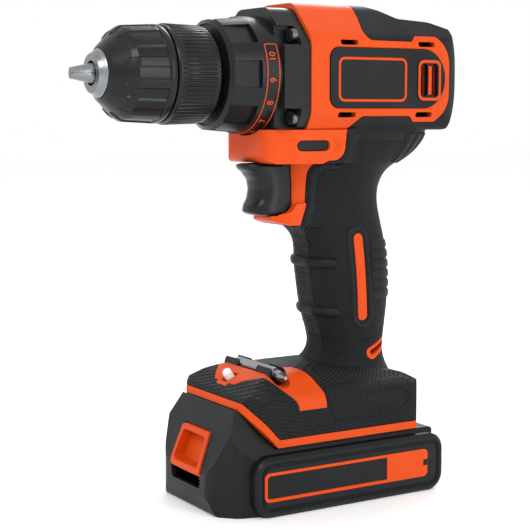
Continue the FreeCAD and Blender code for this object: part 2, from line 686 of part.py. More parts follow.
spindle_turn = turned_body("spindle_turn", [
    (-52.0, 0), (-52.0, d.thread_rad), (-36.2, d.thread_rad), (-36.2, d.spindle_rad),
    (-21.0, d.spindle_rad), (-21.0, 7.6), (0.4, 7.6), (0.4, 13.2), (3.2, 13.2), (3.2, 0)])
output_pins = [Part.show(pin, f"output_pin_{k}") for k, pin in enumerate(carrier_pins(2.8, 9.8))]
screw_way = rod("chuck_screw_way", 2.5, 11.0, -53.0, 0, d.spindle_z)
keep("spindle", cut("spindle", fuse("spindle_solid", spindle_turn, *output_pins), screw_way))

collar = turned_body("torque_collar", [
    (d.collar_front, d.collar_bore + 0.7), (d.collar_front + 1.8, d.collar_rad - 1.5),
    (-16.0, d.collar_rad - 0.3), (d.collar_rear, d.collar_rad), (d.collar_rear, d.collar_bore),
    (-28.4, d.collar_bore), (-28.4, 17.5), (-30.4, 17.5), (-30.4, d.collar_bore + 0.3)])
scoop_half = (d.collar_rad - 1.3) * math.tan(math.radians(12.5))
keep("torque_collar", pocket_round(collar, "YZ_Plane", [
    (-scoop_half, d.collar_rad - 2.4), (scoop_half, d.collar_rad - 2.4),
    (scoop_half + 1.2, d.collar_rad + 2.0), (-scoop_half - 1.2, d.collar_rad + 2.0)],
    13.0, -17.0, 8, False))

keep("clutch_nut", turned_body("clutch_nut", [
    (-24.0, 17.2), (-24.0, 21.3), (-20.4, 21.3), (-20.4, 17.2)]))


def spring(name, wire_rad, coil_rad, start, length, turns, direction=Vector(1, 0, 0)):
    """A coil spring from start along its direction."""
    pitch = (length - 2 * wire_rad) / turns
    helix = Part.makeHelix(pitch, pitch * turns, coil_rad)
    section = Part.Wire(Part.makeCircle(wire_rad, Vector(coil_rad, 0, 0), Vector(0, 1, 0)))
    coil = Part.Wire(helix.Edges).makePipeShell([section], True, True)
    coil.Placement = Placement(Vector(*start) + direction * wire_rad, Rotation(Vector(0, 0, 1), direction))
    return solid_feature(name, coil)


spring("clutch_spring", 0.9, 19.2, (-20.3, 0, float(d.spindle_z)), 13.2, 4)


# ---------------------------------------------------------------- chuck

slope = math.tan(math.radians(d.jaw_angle))
JAW_TIP_OUT = 2.3


def jaw_outside(x):
    """Radius of the jaws' outer line at x with the chuck closed."""
    return JAW_TIP_OUT + (x - float(d.tip_x)) * slope


def jaw_rod(k, radius, before, length):
    """A cylinder on jaw k's inclined axis; before is how far ahead of the jaw tip it starts."""
    lean = math.radians(d.jaw_angle)
    axis_out = JAW_TIP_OUT - float(d.jaw_rad) / math.cos(lean)
    angle = PLANET_ANGLES[k]
    outward = Vector(0, math.cos(angle), math.sin(angle))
    direction = Vector(1, 0, 0) * math.cos(lean) + outward * math.sin(lean)
    start = Vector(float(d.tip_x), 0, float(d.spindle_z)) + outward * axis_out - direction * before
    return Part.makeCylinder(radius, length, start, direction)


def jaw(k):
    shank = jaw_rod(k, float(d.jaw_rad), 3.0, float(d.jaw_long) + 3.0)
    half_wide = 20.0
    half_high = half_wide * math.tan(math.radians(60))
    sector = Part.makePolygon([Vector(-100, 0.1, 0), Vector(-100, half_wide, half_high),
                               Vector(-100, half_wide, -half_high), Vector(-100, 0.1, 0)])
    wedge = Part.Face(sector).extrude(Vector(80, 0, 0))
    wedge.rotate(Vector(0, 0, 0), Vector(1, 0, 0), 120.0 * k)
    wedge.translate(Vector(0, 0, float(d.spindle_z)))
    front = box_between((d.tip_x, -30, 150), (0, 30, 230))
    return shank.common(wedge).common(front)


for k in range(3):
    solid_feature(f"jaw_{k + 1}", jaw(k))

body_turn = turned_body("chuck_turn", [
    (d.nose_x, 5.3), (d.nose_x, 8.3), (-82.9, 10.4), (-81.4, 10.4), (-80.4, 12.0), (-67.0, 12.0), (-67.0, 8.0),
    (-59.0, 8.0), (-59.0, 15.5), (-56.6, 18.0), (d.chuck_rear, 18.0),
    (d.chuck_rear, d.spindle_rad + 0.15), (-36.3, d.spindle_rad + 0.15), (-36.3, d.thread_rad),
    (-52.0, d.thread_rad), (-52.0, 2.6), (-53.2, 2.6), (-53.2, 4.6), (-56.0, 5.3)])
jaw_ways = [Part.show(jaw_rod(k, float(d.jaw_rad) + 0.06, 12.0, 71.5), f"jaw_way_{k + 1}") for k in range(3)]
keep("chuck_body", cut("chuck_body", body_turn, *jaw_ways))

keep("chuck_screw", fuse("chuck_screw", rod("chuck_screw_head", 4.0, 3.0, -56.2, 0, d.spindle_z),
                         rod("chuck_screw_shank", 2.45, 10.0, -53.2, 0, d.spindle_z)))

rear_sleeve = turned_body("rear_sleeve", [
    (-54.7, 18.0), (-54.7, d.sleeve_rad + 0.4), (-54.0, d.sleeve_rad + 0.8), (-50.6, d.sleeve_rad + 0.8),
    (-50.0, d.sleeve_rad + 0.4), (-35.0, d.sleeve_rad + 0.4), (d.chuck_rear, d.sleeve_rad - 0.6),
    (d.chuck_rear, 18.0)])
keep("rear_sleeve", pocket_round(rear_sleeve, "YZ_Plane", [
    (-0.45, d.sleeve_rad - 0.2), (0.45, d.sleeve_rad - 0.2), (0.75, d.sleeve_rad + 2.0),
    (-0.75, d.sleeve_rad + 2.0)], 14.6, -35.4, 60))

sleeve = turned_body("front_sleeve", [
    (-82.6, 10.7), (-81.4, 12.4), (-75.0, 18.4), (-72.6, 19.8), (-57.6, d.sleeve_rad), (-55.3, d.sleeve_rad - 0.5),
    (-55.3, 18.4), (-58.8, 18.4), (-58.8, 17.4), (-66.8, 17.4), (-66.8, 12.3), (-80.2, 12.3), (-81.3, 10.7)])
SLOT_COUNT = 14
keep("front_sleeve", pocket_round(sleeve, "YZ_Plane", [
    (-1.5, 18.2), (1.5, 18.2), (2.1, 23.0), (-2.1, 23.0)], 22.0, -58.4, SLOT_COUNT))
keep("jaw_nut", turned_body("jaw_nut", [
    (-66.6, jaw_outside(-66.6) + 0.45), (-66.6, 17.4), (-59.2, 17.4), (-59.2, jaw_outside(-59.2) + 0.45)]))


# ---------------------------------------------------------------- motor

motor_rear = d.motor_front + d.motor_long
keep("motor_can", turned_body("motor_can", [
    (d.motor_front, 6.0), (d.motor_front, d.motor_rad), (motor_rear, d.motor_rad), (motor_rear, d.motor_rad - 1.2),
    (d.motor_front + 1.2, d.motor_rad - 1.2), (d.motor_front + 1.2, 6.0)]))
keep("motor_end_cap", turned_body("motor_end_cap", [
    (motor_rear, 1.8), (motor_rear, d.motor_rad), (motor_rear + 2.6, d.motor_rad - 0.8), (motor_rear + 2.6, 6.0),
    (motor_rear + 5.5, 6.0), (motor_rear + 5.5, 1.8)]))
magnet_ring = turned_body("magnet_ring", [
    (37.5, 14.4), (37.5, d.motor_rad - 1.2), (70.5, d.motor_rad - 1.2), (70.5, 14.4)])
magnet_gap = block("magnet_gap", (36.0, -7.0, d.spindle_z - 20.0), (72.0, 7.0, d.spindle_z + 20.0))
keep("motor_magnets", cut("motor_magnets", magnet_ring, magnet_gap))
keep("motor_brushes", group("motor_brushes", *[
    block(f"brush_{side}", (73.4, low, d.spindle_z - 2.5), (78.0, low + 6.0, d.spindle_z + 2.5))
    for side, low in (("left", -10.7), ("right", 4.7))]))
shaft_rod = rod("shaft_rod", 1.6, 60.0, 25.5, 0, d.spindle_z)
pinion = Part.show(spur_gear(SUN_TEETH, d.rear_stage - 0.4, 9.2), "pinion")
keep("motor_shaft", fuse("motor_shaft", shaft_rod, pinion))

POLES = 5
armature = turned_body("armature", [(38.5, 1.6), (38.5, 13.9), (69.5, 13.9), (69.5, 1.6)])
keep("armature", pocket_round(armature, "YZ_Plane", [
    (-1.2, 5.0), (1.2, 5.0), (1.2, 16.0), (-1.2, 16.0)], 33.0, 38.0, POLES, True))
keep("commutator", turned_body("commutator", [(72.5, 1.6), (72.5, 4.6), (79.0, 4.6), (79.0, 1.6)]))
fan_hub = turned_body("fan_hub", [
    (32.4, 1.6), (32.4, 15.0), (33.4, 15.0), (33.4, 6.0), (36.6, 6.0), (36.6, 1.6)])
BLADES = 9
blades = []
for number in range(BLADES):
    blade = block(f"blade_{number}", (33.2, 5.5, -0.5), (36.6, 14.8, 0.5))
    turn = Rotation(Vector(1, 0, 0), 360.0 * number / BLADES)
    centre = Vector(0, 0, float(d.spindle_z))
    blade.Placement = Placement(centre + turn.multVec(blade.Placement.Base), turn)
    blades.append(blade)
keep("cooling_fan", fuse("cooling_fan", fan_hub, *blades))


# ---------------------------------------------------------------- trigger, direction button and switch

TRIGGER_SIDE = [(-15.0, 153.2, 0.8), (-13.4, 150.8, 2.0), (-8.2, 146.4, 5), (-7.2, 138.5, 12),
                (-10.6, 133.0, 2), (-10.2, 129.9, 1.7), (4.0, 129.9, 5), (4.0, 153.2, 5)]


def trigger_shape():
    half = float(d.trigger_half)
    side = prism(TRIGGER_SIDE, "XZ", -half, half)
    plan = prism([(-16, -4.5), (-8.5, -half, 6), (4.2, -half, 2), (4.2, half, 2), (-8.5, half, 6), (-16, 4.5)],
                 "XY", 120, 160)
    stem = cylinder_along(Vector(1, 0, 0), 2.4, (3.0, 0, 141.0), 12.0)
    return side.common(plan).fuse(stem)


solid_feature("trigger", trigger_shape())
spring("trigger_spring", 0.45, 3.4, (4.1, 0, 141.0), 7.0, 5)

switch_box = block("switch_box", (11.4, -9.2, 133.2), (34.0, 9.2, 151.0))
stem_way = rod("stem_way", 2.6, 13.0, 11.0, 0, 141.0)
heat_sink = block("heat_sink", (20.6, -6.0, 128.6), (34.0, 6.0, 133.2))
keep("switch_body", cut("switch_body", fuse("switch_solid", switch_box, heat_sink), stem_way))

BUTTON_HALF = 23.6
solid_feature("direction_button", prism(BUTTON_WINDOW, "XZ", -BUTTON_HALF, BUTTON_HALF, -0.35))

# ---------------------------------------------------------------- foot: lamp, terminals and stored bit

lamp_turn = Rotation(Vector(0, 1, 0), -35)
lamp_axis = lamp_turn.multVec(Vector(0, 0, 1))
lamp_base = Vector(*LAMP_AT)
lens = Part.makeCylinder(2.2, 6.0, lamp_base - lamp_axis * 3.6, lamp_axis)
dome = Part.makeSphere(2.2, lamp_base + lamp_axis * 2.2)
lamp_flange = Part.makeCylinder(3.0, 1.2, lamp_base - lamp_axis * 3.6, lamp_axis)
solid_feature("lamp", lens.fuse([dome, lamp_flange]))

keep("terminal_block", block("terminal_block", (2.0, -13.0, 40.0), (26.0, 13.0, 52.0)))
CONTACT_PLACES = (-9.0, -3.0, 3.0, 9.0)
keep("tool_contacts", group("tool_contacts", *[
    block(f"tool_contact_{number}", (4.0, y - 0.4, 34.6), (18.0, y + 0.4, 40.0))
    for number, y in enumerate(CONTACT_PLACES)]))

bit_x, bit_z = BIT_AT
clip_tube = rod("clip_tube", CLIP_RAD - 0.05, 40.0, bit_x, -20.0, bit_z, TURN_TO_Y)
clip_way = rod("clip_way", CLIP_RAD - 0.9, 42.0, bit_x, -21.0, bit_z, TURN_TO_Y)
clip_mouth = block("clip_mouth", (bit_x - 3.0, -21.0, bit_z + 1.2), (bit_x + 3.0, 21.0, bit_z + 6.0))
clip_relief = block("clip_relief", (bit_x - 6.0, -8.0, bit_z - 1.0), (bit_x + 6.0, 8.0, bit_z + 6.0))
keep("bit_clip", cut("bit_clip", clip_tube, clip_way, clip_mouth, clip_relief))


def driver_bit_shape():
    """A double-ended hexagonal driver bit with a cross point at each end."""
    flats = 6.35
    corner = flats / math.sqrt(3)
    ring = [Vector(bit_x + corner * math.cos(a), BIT_NEAR, bit_z + corner * math.sin(a))
            for a in [math.radians(60 * i + 30) for i in range(7)]]
    shank = Part.Face(Part.makePolygon(ring)).extrude(Vector(0, BIT_LONG, 0))
    profile = [(0.0, 0.0), (0.0, 0.8), (3.6, 2.3), (7.0, 2.5), (8.6, 3.4), (14.4, 3.7), (14.4, 0.0)]
    shapes = []
    for start, sign in ((BIT_NEAR, 1), (BIT_NEAR + BIT_LONG, -1)):
        ends = [Vector(bit_x + radius, start + sign * along, bit_z) for along, radius in profile]
        face = Part.Face(Part.makePolygon(ends + ends[:1]))
        shapes.append(face.revolve(Vector(bit_x, 0, bit_z), Vector(0, 1, 0), 360))
    middle = cylinder_along(Vector(0, 1, 0), 3.7, (bit_x, BIT_NEAR + 14.0, bit_z), 22.0)
    return shank.common(middle.fuse(shapes))


solid_feature("driver_bit", driver_bit_shape())


# ---------------------------------------------------------------- battery

NOSE_LEAN = math.radians(20.0)    # lean of the battery's front face, and of its button's travel
BATTERY_SIDE = [(-40.2, 0, 2), (-42.4, 8, 12), (-42.2, 19, 12), (-36.4, 34, 30), (-30.5, 46.6, 0.2),
                (-29.7, 46.2), (-14.3, 28.9, 1), (72.5, 28.9, 2), (72.5, 0, 2)]
BATTERY_PLAN = [(-42.4, 30), (-42.4, -21, 12), (-33.0, -31.0, 8), (-20, -34.4, 10), (72.5, -34.4, 4), (72.5, 30)]
BATTERY_ENDS = [(30, -1), (-34.6, -1), (-34.6, 22, 14), (-23.6, 47.5), (30, 47.5)]
PAD_SIDE = [(d.pad_front, 0, 8), (d.pad_front, d.pad_top, 8), (d.pad_rear, d.pad_top, 8), (d.pad_rear, 0, 8)]
LABEL = [(-23.6, 7.2, 2.5), (-23.6, 20.4, 2.5), (65.4, 20.4, 2.5), (65.4, 7.2, 2.5)]
LABEL_INSIDE = [(-22.2, 8.6, 1.5), (-22.2, 19.0, 1.5), (42.0, 19.0), (42.0, 8.6)]
LABEL_FACE = -float(d.battery_half) + 0.5


def half_battery(inset, pads=True):
    side = prism(BATTERY_SIDE, "XZ", LEFT, 0, -inset)
    core = side.common(prism(BATTERY_PLAN, "XY", -2, 60, -inset))
    core = core.common(prism(BATTERY_ENDS, "YZ", -60, 90, -inset))
    if not pads:
        return core
    face = -float(d.battery_half) + inset
    pad = prism(PAD_SIDE, "XZ", face, 0, -inset)
    rim = [edge for edge in pad.Edges if edge.BoundBox.YMax < face + 0.01]
    return core.fuse(pad.makeChamfer(1.4, rim))


BUTTON_HALF = 13.6    # half the width of the release button at its foot


def nose_button(grow_sides, top, bottom, front, back):
    """Part of the battery's front wall between two depths, seen from the front."""
    low, high = BUTTON_HALF + grow_sides, BUTTON_HALF - 1.4 + grow_sides
    outline = [(-low, bottom, 2), (-high, top, 2), (high, top, 2), (low, bottom, 2)]
    column = prism(outline, "YZ", -60, -28)
    half_layer = half_battery(front, False).cut(half_battery(back, False))
    layer = half_layer.fuse(mirrored(half_layer))
    return column.common(layer)


def battery_half_shell():
    wall = float(d.battery_wall)
    shell = half_battery(0.0).cut(half_battery(wall))
    pocket = zone(LABEL, LEFT, LABEL_FACE)
    lines = []
    for shrink in (1.5, 2.5):
        ring = prism(PAD_SIDE, "XZ", LEFT, -float(d.battery_half) + 0.45, -1.4 - shrink)
        lines.append(ring.cut(prism(PAD_SIDE, "XZ", LEFT, -30, -1.9 - shrink)))
    notch = cylinder_along(Vector(0, 1, 0), 1.6, (d.pad_rear + 0.4, -45, d.battery_seam), 8)
    tower = box_between((-13.4, -17.2, 27.5), (40, 0, 33.4)).fuse(box_between((-13.4, -21.0, 33.1), (40, 0, 37.2)))
    tower = tower.fuse(box_between((-24, -21.0, 24.0), (-13.4, 0, 37.2)).common(half_battery(0.4, False)))
    slots = [box_between((0, y - 1.3, 30), (42, y + 1.3, 40)) for y in CONTACT_PLACES if y < 0]
    hollow = box_between((-11.5, -15.2, 24), (38, 1, 35.4))
    return shell.cut([pocket, notch, *lines]).fuse(tower).cut([hollow, *slots])


BUTTON_TOP, BUTTON_BOTTOM, WINDOW_BOTTOM = 35.2, 16.6, 10.6
battery_half_shape = battery_half_shell()
battery_shell = battery_half_shape.fuse(mirrored(battery_half_shape))
low, high = BUTTON_HALF + 0.5, BUTTON_HALF - 0.9
window = prism([(-low + 1.1, WINDOW_BOTTOM, 2), (-low, BUTTON_BOTTOM), (-high, BUTTON_TOP + 0.5, 2.2),
                (high, BUTTON_TOP + 0.5, 2.2), (low, BUTTON_BOTTOM), (low - 1.1, WINDOW_BOTTOM, 2)], "YZ", -60, -30)
battery_shell = battery_shell.cut(window)
lower = box_between((-60, -60, -5), (90, 60, d.battery_seam))
BATTERY_SCREWS = [(-30.0, -19.0), (-30.0, 19.0)]
tray_bosses = [cylinder_along(Vector(0, 0, 1), 3.0, (x, y, 1), d.battery_seam - 1) for x, y in BATTERY_SCREWS]
cover_bosses = [cylinder_along(Vector(0, 0, 1), 3.0, (x, y, d.battery_seam), 27.5 - d.battery_seam)
                for x, y in BATTERY_SCREWS]
screw_ways = []
for x, y in BATTERY_SCREWS:
    screw_ways.append(cylinder_along(Vector(0, 0, 1), 1.4, (x, y, -1), 24))
    screw_ways.append(cylinder_along(Vector(0, 0, 1), 2.6, (x, y, -1), 3.4))
solid_feature("battery_base", battery_shell.common(lower).fuse(tray_bosses).cut(screw_ways))
solid_feature("battery_cover", battery_shell.cut(lower).fuse(cover_bosses).cut(screw_ways))


def battery_screw(x, y):
    head = cylinder_along(Vector(0, 0, 1), 2.4, (x, y, 0.6), 1.7)
    shank = cylinder_along(Vector(0, 0, 1), 1.38, (x, y, 2.3), 18)
    return head.fuse(shank).cut(cylinder_along(Vector(0, 0, 1), 1.1, (x, y, 0), 1.6))


solid_feature("battery_screws", Part.makeCompound([battery_screw(x, y) for x, y in BATTERY_SCREWS]))
CELLS = 5
first_cell = 24.0 - d.cell_pitch * (CELLS - 1) / 2
keep("battery_cells", group("battery_cells", *[
    rod(f"cell_{number}", d.cell_rad, d.cell_long, first_cell + d.cell_pitch * number, -d.cell_long / 2,
        d.battery_wall + 0.4 + d.cell_rad, TURN_TO_Y) for number in range(CELLS)]))
keep("circuit_board", block("circuit_board", (-9.0, -14.0, 26.0), (36.0, 14.0, 27.6)))
keep("battery_contacts", group("battery_contacts", *[
    block(f"contact_{number}_{side}", (2.0, y + low, 27.6), (20.0, y + low + 0.5, 34.0))
    for number, y in enumerate(CONTACT_PLACES) for side, low in (("a", -1.1), ("b", 0.6))]))

button = nose_button(0.0, BUTTON_TOP, BUTTON_BOTTOM, -0.7, 6.0)
finger_outline = [(-11.2, 19.4, 2), (-10.2, 32.8, 2), (10.2, 32.8, 2), (11.2, 19.4, 2)]
finger = prism(finger_outline, "YZ", -60, -28)
finger_depth = half_battery(-2.0, False).cut(half_battery(4.4, False))
finger = finger.common(finger_depth.fuse(mirrored(finger_depth)))
skirt = nose_button(-0.6, 19.0, 14.6, 2.6, 4.2)
solid_feature("release_button", button.cut(finger).fuse(skirt))
spring("release_spring", 0.4, 2.6, (-32.6, 0, 5.0), 9.0, 5, Vector(0, 0, 1))

label_plate = zone(LABEL, -float(d.battery_half) - 0.15, LABEL_FACE, -0.1)
label_plate = label_plate.cut(zone(LABEL_INSIDE, LEFT, LABEL_FACE - 0.25))
solid_feature("battery_labels", Part.makeCompound([label_plate, mirrored(label_plate)]))


# ---------------------------------------------------------------- checks and export

doc.recompute()
for feature in doc.Objects:
    if "Invalid" in feature.State or "Error" in feature.State:
        raise ValueError(f"{feature.Label} failed to recompute")
for name, feature in nodes.items():
    if feature.Shape.isNull() or not feature.Shape.isValid() or not feature.Shape.Solids:
        raise ValueError(f"{name} has no valid solid")
os.makedirs("parts", exist_ok=True)
for name, feature in nodes.items():
    feature.Shape.exportStep(f"parts/{name}.step")
print(f"{len(nodes)} sub-parts written")
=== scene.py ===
import json
import math

import bmesh
import bpy
from mathutils import Matrix, Vector
from mathutils.bvhtree import BVHTree
from mathutils.geometry import delaunay_2d_cdt


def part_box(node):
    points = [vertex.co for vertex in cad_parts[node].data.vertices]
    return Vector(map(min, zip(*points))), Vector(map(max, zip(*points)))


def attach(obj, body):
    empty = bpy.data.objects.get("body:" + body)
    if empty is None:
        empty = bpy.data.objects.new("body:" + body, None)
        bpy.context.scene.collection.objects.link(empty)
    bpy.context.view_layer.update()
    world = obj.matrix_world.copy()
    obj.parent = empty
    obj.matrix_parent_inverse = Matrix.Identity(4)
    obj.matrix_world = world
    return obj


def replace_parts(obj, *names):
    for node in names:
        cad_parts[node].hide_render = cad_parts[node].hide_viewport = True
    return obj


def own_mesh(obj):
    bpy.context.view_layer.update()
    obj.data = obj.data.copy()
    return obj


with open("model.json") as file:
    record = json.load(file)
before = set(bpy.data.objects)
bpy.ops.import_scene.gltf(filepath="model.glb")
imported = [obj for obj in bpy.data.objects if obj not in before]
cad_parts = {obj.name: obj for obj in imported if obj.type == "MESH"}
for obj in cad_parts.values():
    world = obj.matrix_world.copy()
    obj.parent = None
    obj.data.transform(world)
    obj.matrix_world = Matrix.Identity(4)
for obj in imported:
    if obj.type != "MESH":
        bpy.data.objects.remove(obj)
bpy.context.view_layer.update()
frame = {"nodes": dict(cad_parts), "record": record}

NODES = frame["nodes"]
MM = 0.001
SPINDLE_Z = 0.1925

# ---------------------------------------------------------------- camera, light and floor

CAMERA_AT = Vector((-0.3269, -0.5340, 0.1770))
CAMERA_HEADING = math.radians(58.55)    # from +X towards +Y
CAMERA_PITCH = math.radians(-6.42)
CAMERA_LENS = 93.35


def add_camera():
    camera = bpy.data.cameras.new("camera")
    camera.lens = CAMERA_LENS
    camera.sensor_width = 36.0
    camera.dof.use_dof = False
    holder = bpy.data.objects.new("camera", camera)
    level = Vector((math.cos(CAMERA_HEADING), math.sin(CAMERA_HEADING), 0.0))
    forward = level * math.cos(CAMERA_PITCH) + Vector((0, 0, math.sin(CAMERA_PITCH)))
    holder.rotation_euler = forward.to_track_quat("-Z", "Y").to_euler()
    holder.location = CAMERA_AT
    bpy.context.scene.collection.objects.link(holder)
    bpy.context.scene.camera = holder


def add_area_light(name, at, toward, size, power, colour=(1, 1, 1)):
    light = bpy.data.lights.new(name, "AREA")
    light.shape = "RECTANGLE"
    light.size, light.size_y = size
    light.energy = power
    light.color = colour
    holder = bpy.data.objects.new(name, light)
    holder.location = at
    holder.rotation_euler = (Vector(toward) - Vector(at)).to_track_quat("-Z", "Y").to_euler()
    bpy.context.scene.collection.objects.link(holder)


def add_stage():
    mesh = bpy.data.meshes.new("floor")
    reach = 4.0
    mesh.from_pydata([(-reach, -reach, 0), (reach, -reach, 0), (reach, reach, 0), (-reach, reach, 0)], [],
                     [(0, 1, 2, 3)])
    floor = bpy.data.objects.new("floor", mesh)
    bpy.context.scene.collection.objects.link(floor)
    material = bpy.data.materials.new("floor_white")
    material.use_nodes = True
    shader = material.node_tree.nodes["Principled BSDF"]
    shader.inputs["Base Color"].default_value = (0.99, 0.99, 0.99, 1)
    shader.inputs["Roughness"].default_value = 0.6
    floor.data.materials.append(material)
    world = bpy.data.worlds.new("studio")
    world.use_nodes = True
    background = world.node_tree.nodes["Background"]
    background.inputs["Color"].default_value = (1.0, 1.0, 1.0, 1)
    background.inputs["Strength"].default_value = 1.0
    bpy.context.scene.world = world
    add_area_light("key", (-0.9, -0.7, 1.1), (0, 0, 0.13), (0.5, 0.5), 9)
    add_area_light("side", (0.35, -1.2, 0.45), (0, 0, 0.12), (0.35, 0.9), 5)
    add_area_light("rim", (0.9, 0.8, 0.9), (0, 0, 0.15), (0.6, 0.6), 7)


add_camera()
add_stage()
bpy.context.scene.view_settings.view_transform = "Standard"


# ---------------------------------------------------------------- materials

class Nodes:
    """Short ways of adding shader nodes to one material."""

    def __init__(self, name):
        self.material = bpy.data.materials.new(name)
        self.material.use_nodes = True
        self.tree = self.material.node_tree
        self.shader = self.tree.nodes["Principled BSDF"]
        self.place = self.add("ShaderNodeTexCoord").outputs["Object"]

    def add(self, kind, **settings):
        node = self.tree.nodes.new(kind)
        for name, value in settings.items():
            setattr(node, name, value)
        return node

    def link(self, source, target):
        self.tree.links.new(source, target)

    def math(self, operation, *values):
        node = self.add("ShaderNodeMath", operation=operation)
        for socket, value in zip(node.inputs, values):
            if isinstance(value, (int, float)):
                socket.default_value = value
            else:
                self.link(value, socket)
        return node.outputs[0]

    def noise(self, scale, detail=3.0, roughness=0.55):
        node = self.add("ShaderNodeTexNoise")
        node.inputs["Scale"].default_value = scale
        node.inputs["Detail"].default_value = detail
        node.inputs["Roughness"].default_value = roughness
        self.link(self.place, node.inputs["Vector"])
        return node.outputs["Fac"]

    def spread(self, value, low, high, start=0.0, end=1.0):
        node = self.add("ShaderNodeMapRange")
        self.link(value, node.inputs["Value"])
        node.inputs["From Min"].default_value = start
        node.inputs["From Max"].default_value = end
        node.inputs["To Min"].default_value = low
        node.inputs["To Max"].default_value = high
        return node.outputs["Result"]

    def mix(self, factor, first, second):
        node = self.add("ShaderNodeMix", data_type="RGBA")
        for socket, value in ((node.inputs[6], first), (node.inputs[7], second)):
            if isinstance(value, tuple):
                socket.default_value = (*value, 1)
            else:
                self.link(value, socket)
        self.link(factor, node.inputs[0])
        return node.outputs[2]

    def bump(self, height, strength, distance):
        node = self.add("ShaderNodeBump")
        node.inputs["Strength"].default_value = strength
        node.inputs["Distance"].default_value = distance
        self.link(height, node.inputs["Height"])
        previous = getattr(self, "last_bump", None)
        if previous is not None:
            self.link(previous, node.inputs["Normal"])
        self.last_bump = node.outputs["Normal"]
        self.link(self.last_bump, self.shader.inputs["Normal"])

    def set(self, **values):
        for name, value in values.items():
            self.shader.inputs[name.replace("_", " ")].default_value = value


def edge_wear(n, base, highlight, amount):
    """Paints a highlight on exposed edges, found by pointiness, its strength broken up a little by noise."""
    geometry = n.add("ShaderNodeNewGeometry")
    edges = n.spread(geometry.outputs["Pointiness"], 0.0, 1.0, 0.52, 0.62)
    cloud = n.spread(n.noise(60.0), 0.25, 1.0, 0.35, 0.75)
    factor = n.math("MULTIPLY", n.math("MULTIPLY", edges, cloud), amount)
    return n.mix(factor, base, highlight)


def moulded_plastic(name, colour, roughness=0.42, grain=0.25, tone=0.10, coat=0.0, edge_sheen=0.25, shine=0.17):
    """Moulded plastic: fine spark-eroded grain, a little variation of tone and gloss."""
    n = Nodes(name)
    darker = tuple(c * (1 - tone) for c in colour)
    lighter = tuple(min(1.0, c * (1 + tone) + 0.001) for c in colour)
    tone_and_sheen = n.mix(n.spread(n.noise(14.0, 4.0), 0.0, 1.0, 0.3, 0.7), darker, lighter)
    # painted highlight: exposed edges are lightened towards this pale colour
    pale = tuple(min(1.0, c * 1.35 + 0.02) for c in colour)
    n.link(edge_wear(n, tone_and_sheen, pale, edge_sheen), n.shader.inputs["Base Color"])
    gloss = n.spread(n.noise(35.0, 5.0), roughness - 0.05, roughness + 0.08, 0.3, 0.7)
    n.link(gloss, n.shader.inputs["Roughness"])
    n.bump(n.noise(2600.0, 2.0), grain, 0.00012)
    n.set(Coat_Weight=coat, Coat_Roughness=0.25, Specular_IOR_Level=shine)
    return n.material


def diamond_rubber(name, colour, pitch=0.0017, depth=0.0005, low=-1.0, high=1.0, handle=None):
    """Soft overmould with raised diamonds between two heights. On the handle they run round its axis."""
    n = Nodes(name)
    split = n.add("ShaderNodeSeparateXYZ")
    n.link(n.place, split.inputs[0])
    along, z = split.outputs["X"], split.outputs["Z"]
    if handle is not None:
        turned = n.math("ARCTAN2", split.outputs["Y"], n.math("SUBTRACT", along, handle))
        along = n.math("MULTIPLY", n.math("ABSOLUTE", turned), 0.0195)
    turn = math.pi / pitch
    first = n.math("SINE", n.math("MULTIPLY", n.math("ADD", along, z), turn))
    second = n.math("SINE", n.math("MULTIPLY", n.math("SUBTRACT", along, z), turn))
    diamonds = n.math("MULTIPLY", n.math("ABSOLUTE", first), n.math("ABSOLUTE", second))
    within = n.math("MULTIPLY", n.math("GREATER_THAN", z, low), n.math("LESS_THAN", z, high))
    diamonds = n.math("MULTIPLY", diamonds, within)
    # painted highlight: the raised diamond tops are coloured lighter where they would catch the light, beside the
    # bump that shapes them
    lighter = tuple(min(1.0, c * 1.25 + 0.003) for c in colour)
    tone_and_sheen = n.mix(n.spread(diamonds, 0.0, 1.0, 0.1, 0.9), colour, lighter)
    # painted highlight on the exposed edges of the rubber
    n.link(edge_wear(n, tone_and_sheen, tuple(c * 1.6 + 0.01 for c in colour), 0.3), n.shader.inputs["Base Color"])
    n.link(n.spread(n.noise(40.0, 5.0), 0.50, 0.64, 0.3, 0.7), n.shader.inputs["Roughness"])
    n.bump(diamonds, 0.9, depth)
    n.bump(n.noise(2200.0, 2.0), 0.15, 0.0001)
    n.set(Specular_IOR_Level=0.17)
    return n.material


def turned_metal(name, colour, roughness=0.28, lines=900.0, axis="X"):
    """Machined metal: fine tool marks round the axis and stains."""
    n = Nodes(name)
    split = n.add("ShaderNodeSeparateXYZ")
    n.link(n.place, split.inputs[0])
    marks = n.add("ShaderNodeTexNoise", noise_dimensions="1D")
    marks.inputs["Scale"].default_value = lines
    marks.inputs["Detail"].default_value = 4.0
    n.link(split.outputs[axis], marks.inputs["W"])
    stains = n.spread(n.noise(45.0, 5.0), 0.0, 1.0, 0.42, 0.68)
    dull = tuple(c * 0.72 for c in colour)
    n.link(n.mix(stains, colour, dull), n.shader.inputs["Base Color"])
    n.link(n.spread(marks.outputs["Fac"], roughness - 0.08, roughness + 0.14, 0.3, 0.7),
           n.shader.inputs["Roughness"])
    n.bump(marks.outputs["Fac"], 0.05, 0.00005)
    n.set(Metallic=1.0)
    return n.material


def clear_lens(name):
    n = Nodes(name)
    n.link(n.spread(n.noise(300.0), 0.05, 0.14), n.shader.inputs["Roughness"])
    n.link(n.mix(n.noise(90.0), (0.86, 0.88, 0.90), (0.97, 0.97, 0.95)), n.shader.inputs["Base Color"])
    n.bump(n.noise(700.0), 0.05, 0.0001)
    n.set(Transmission_Weight=0.35, IOR=1.49, Coat_Weight=0.6)
    return n.material


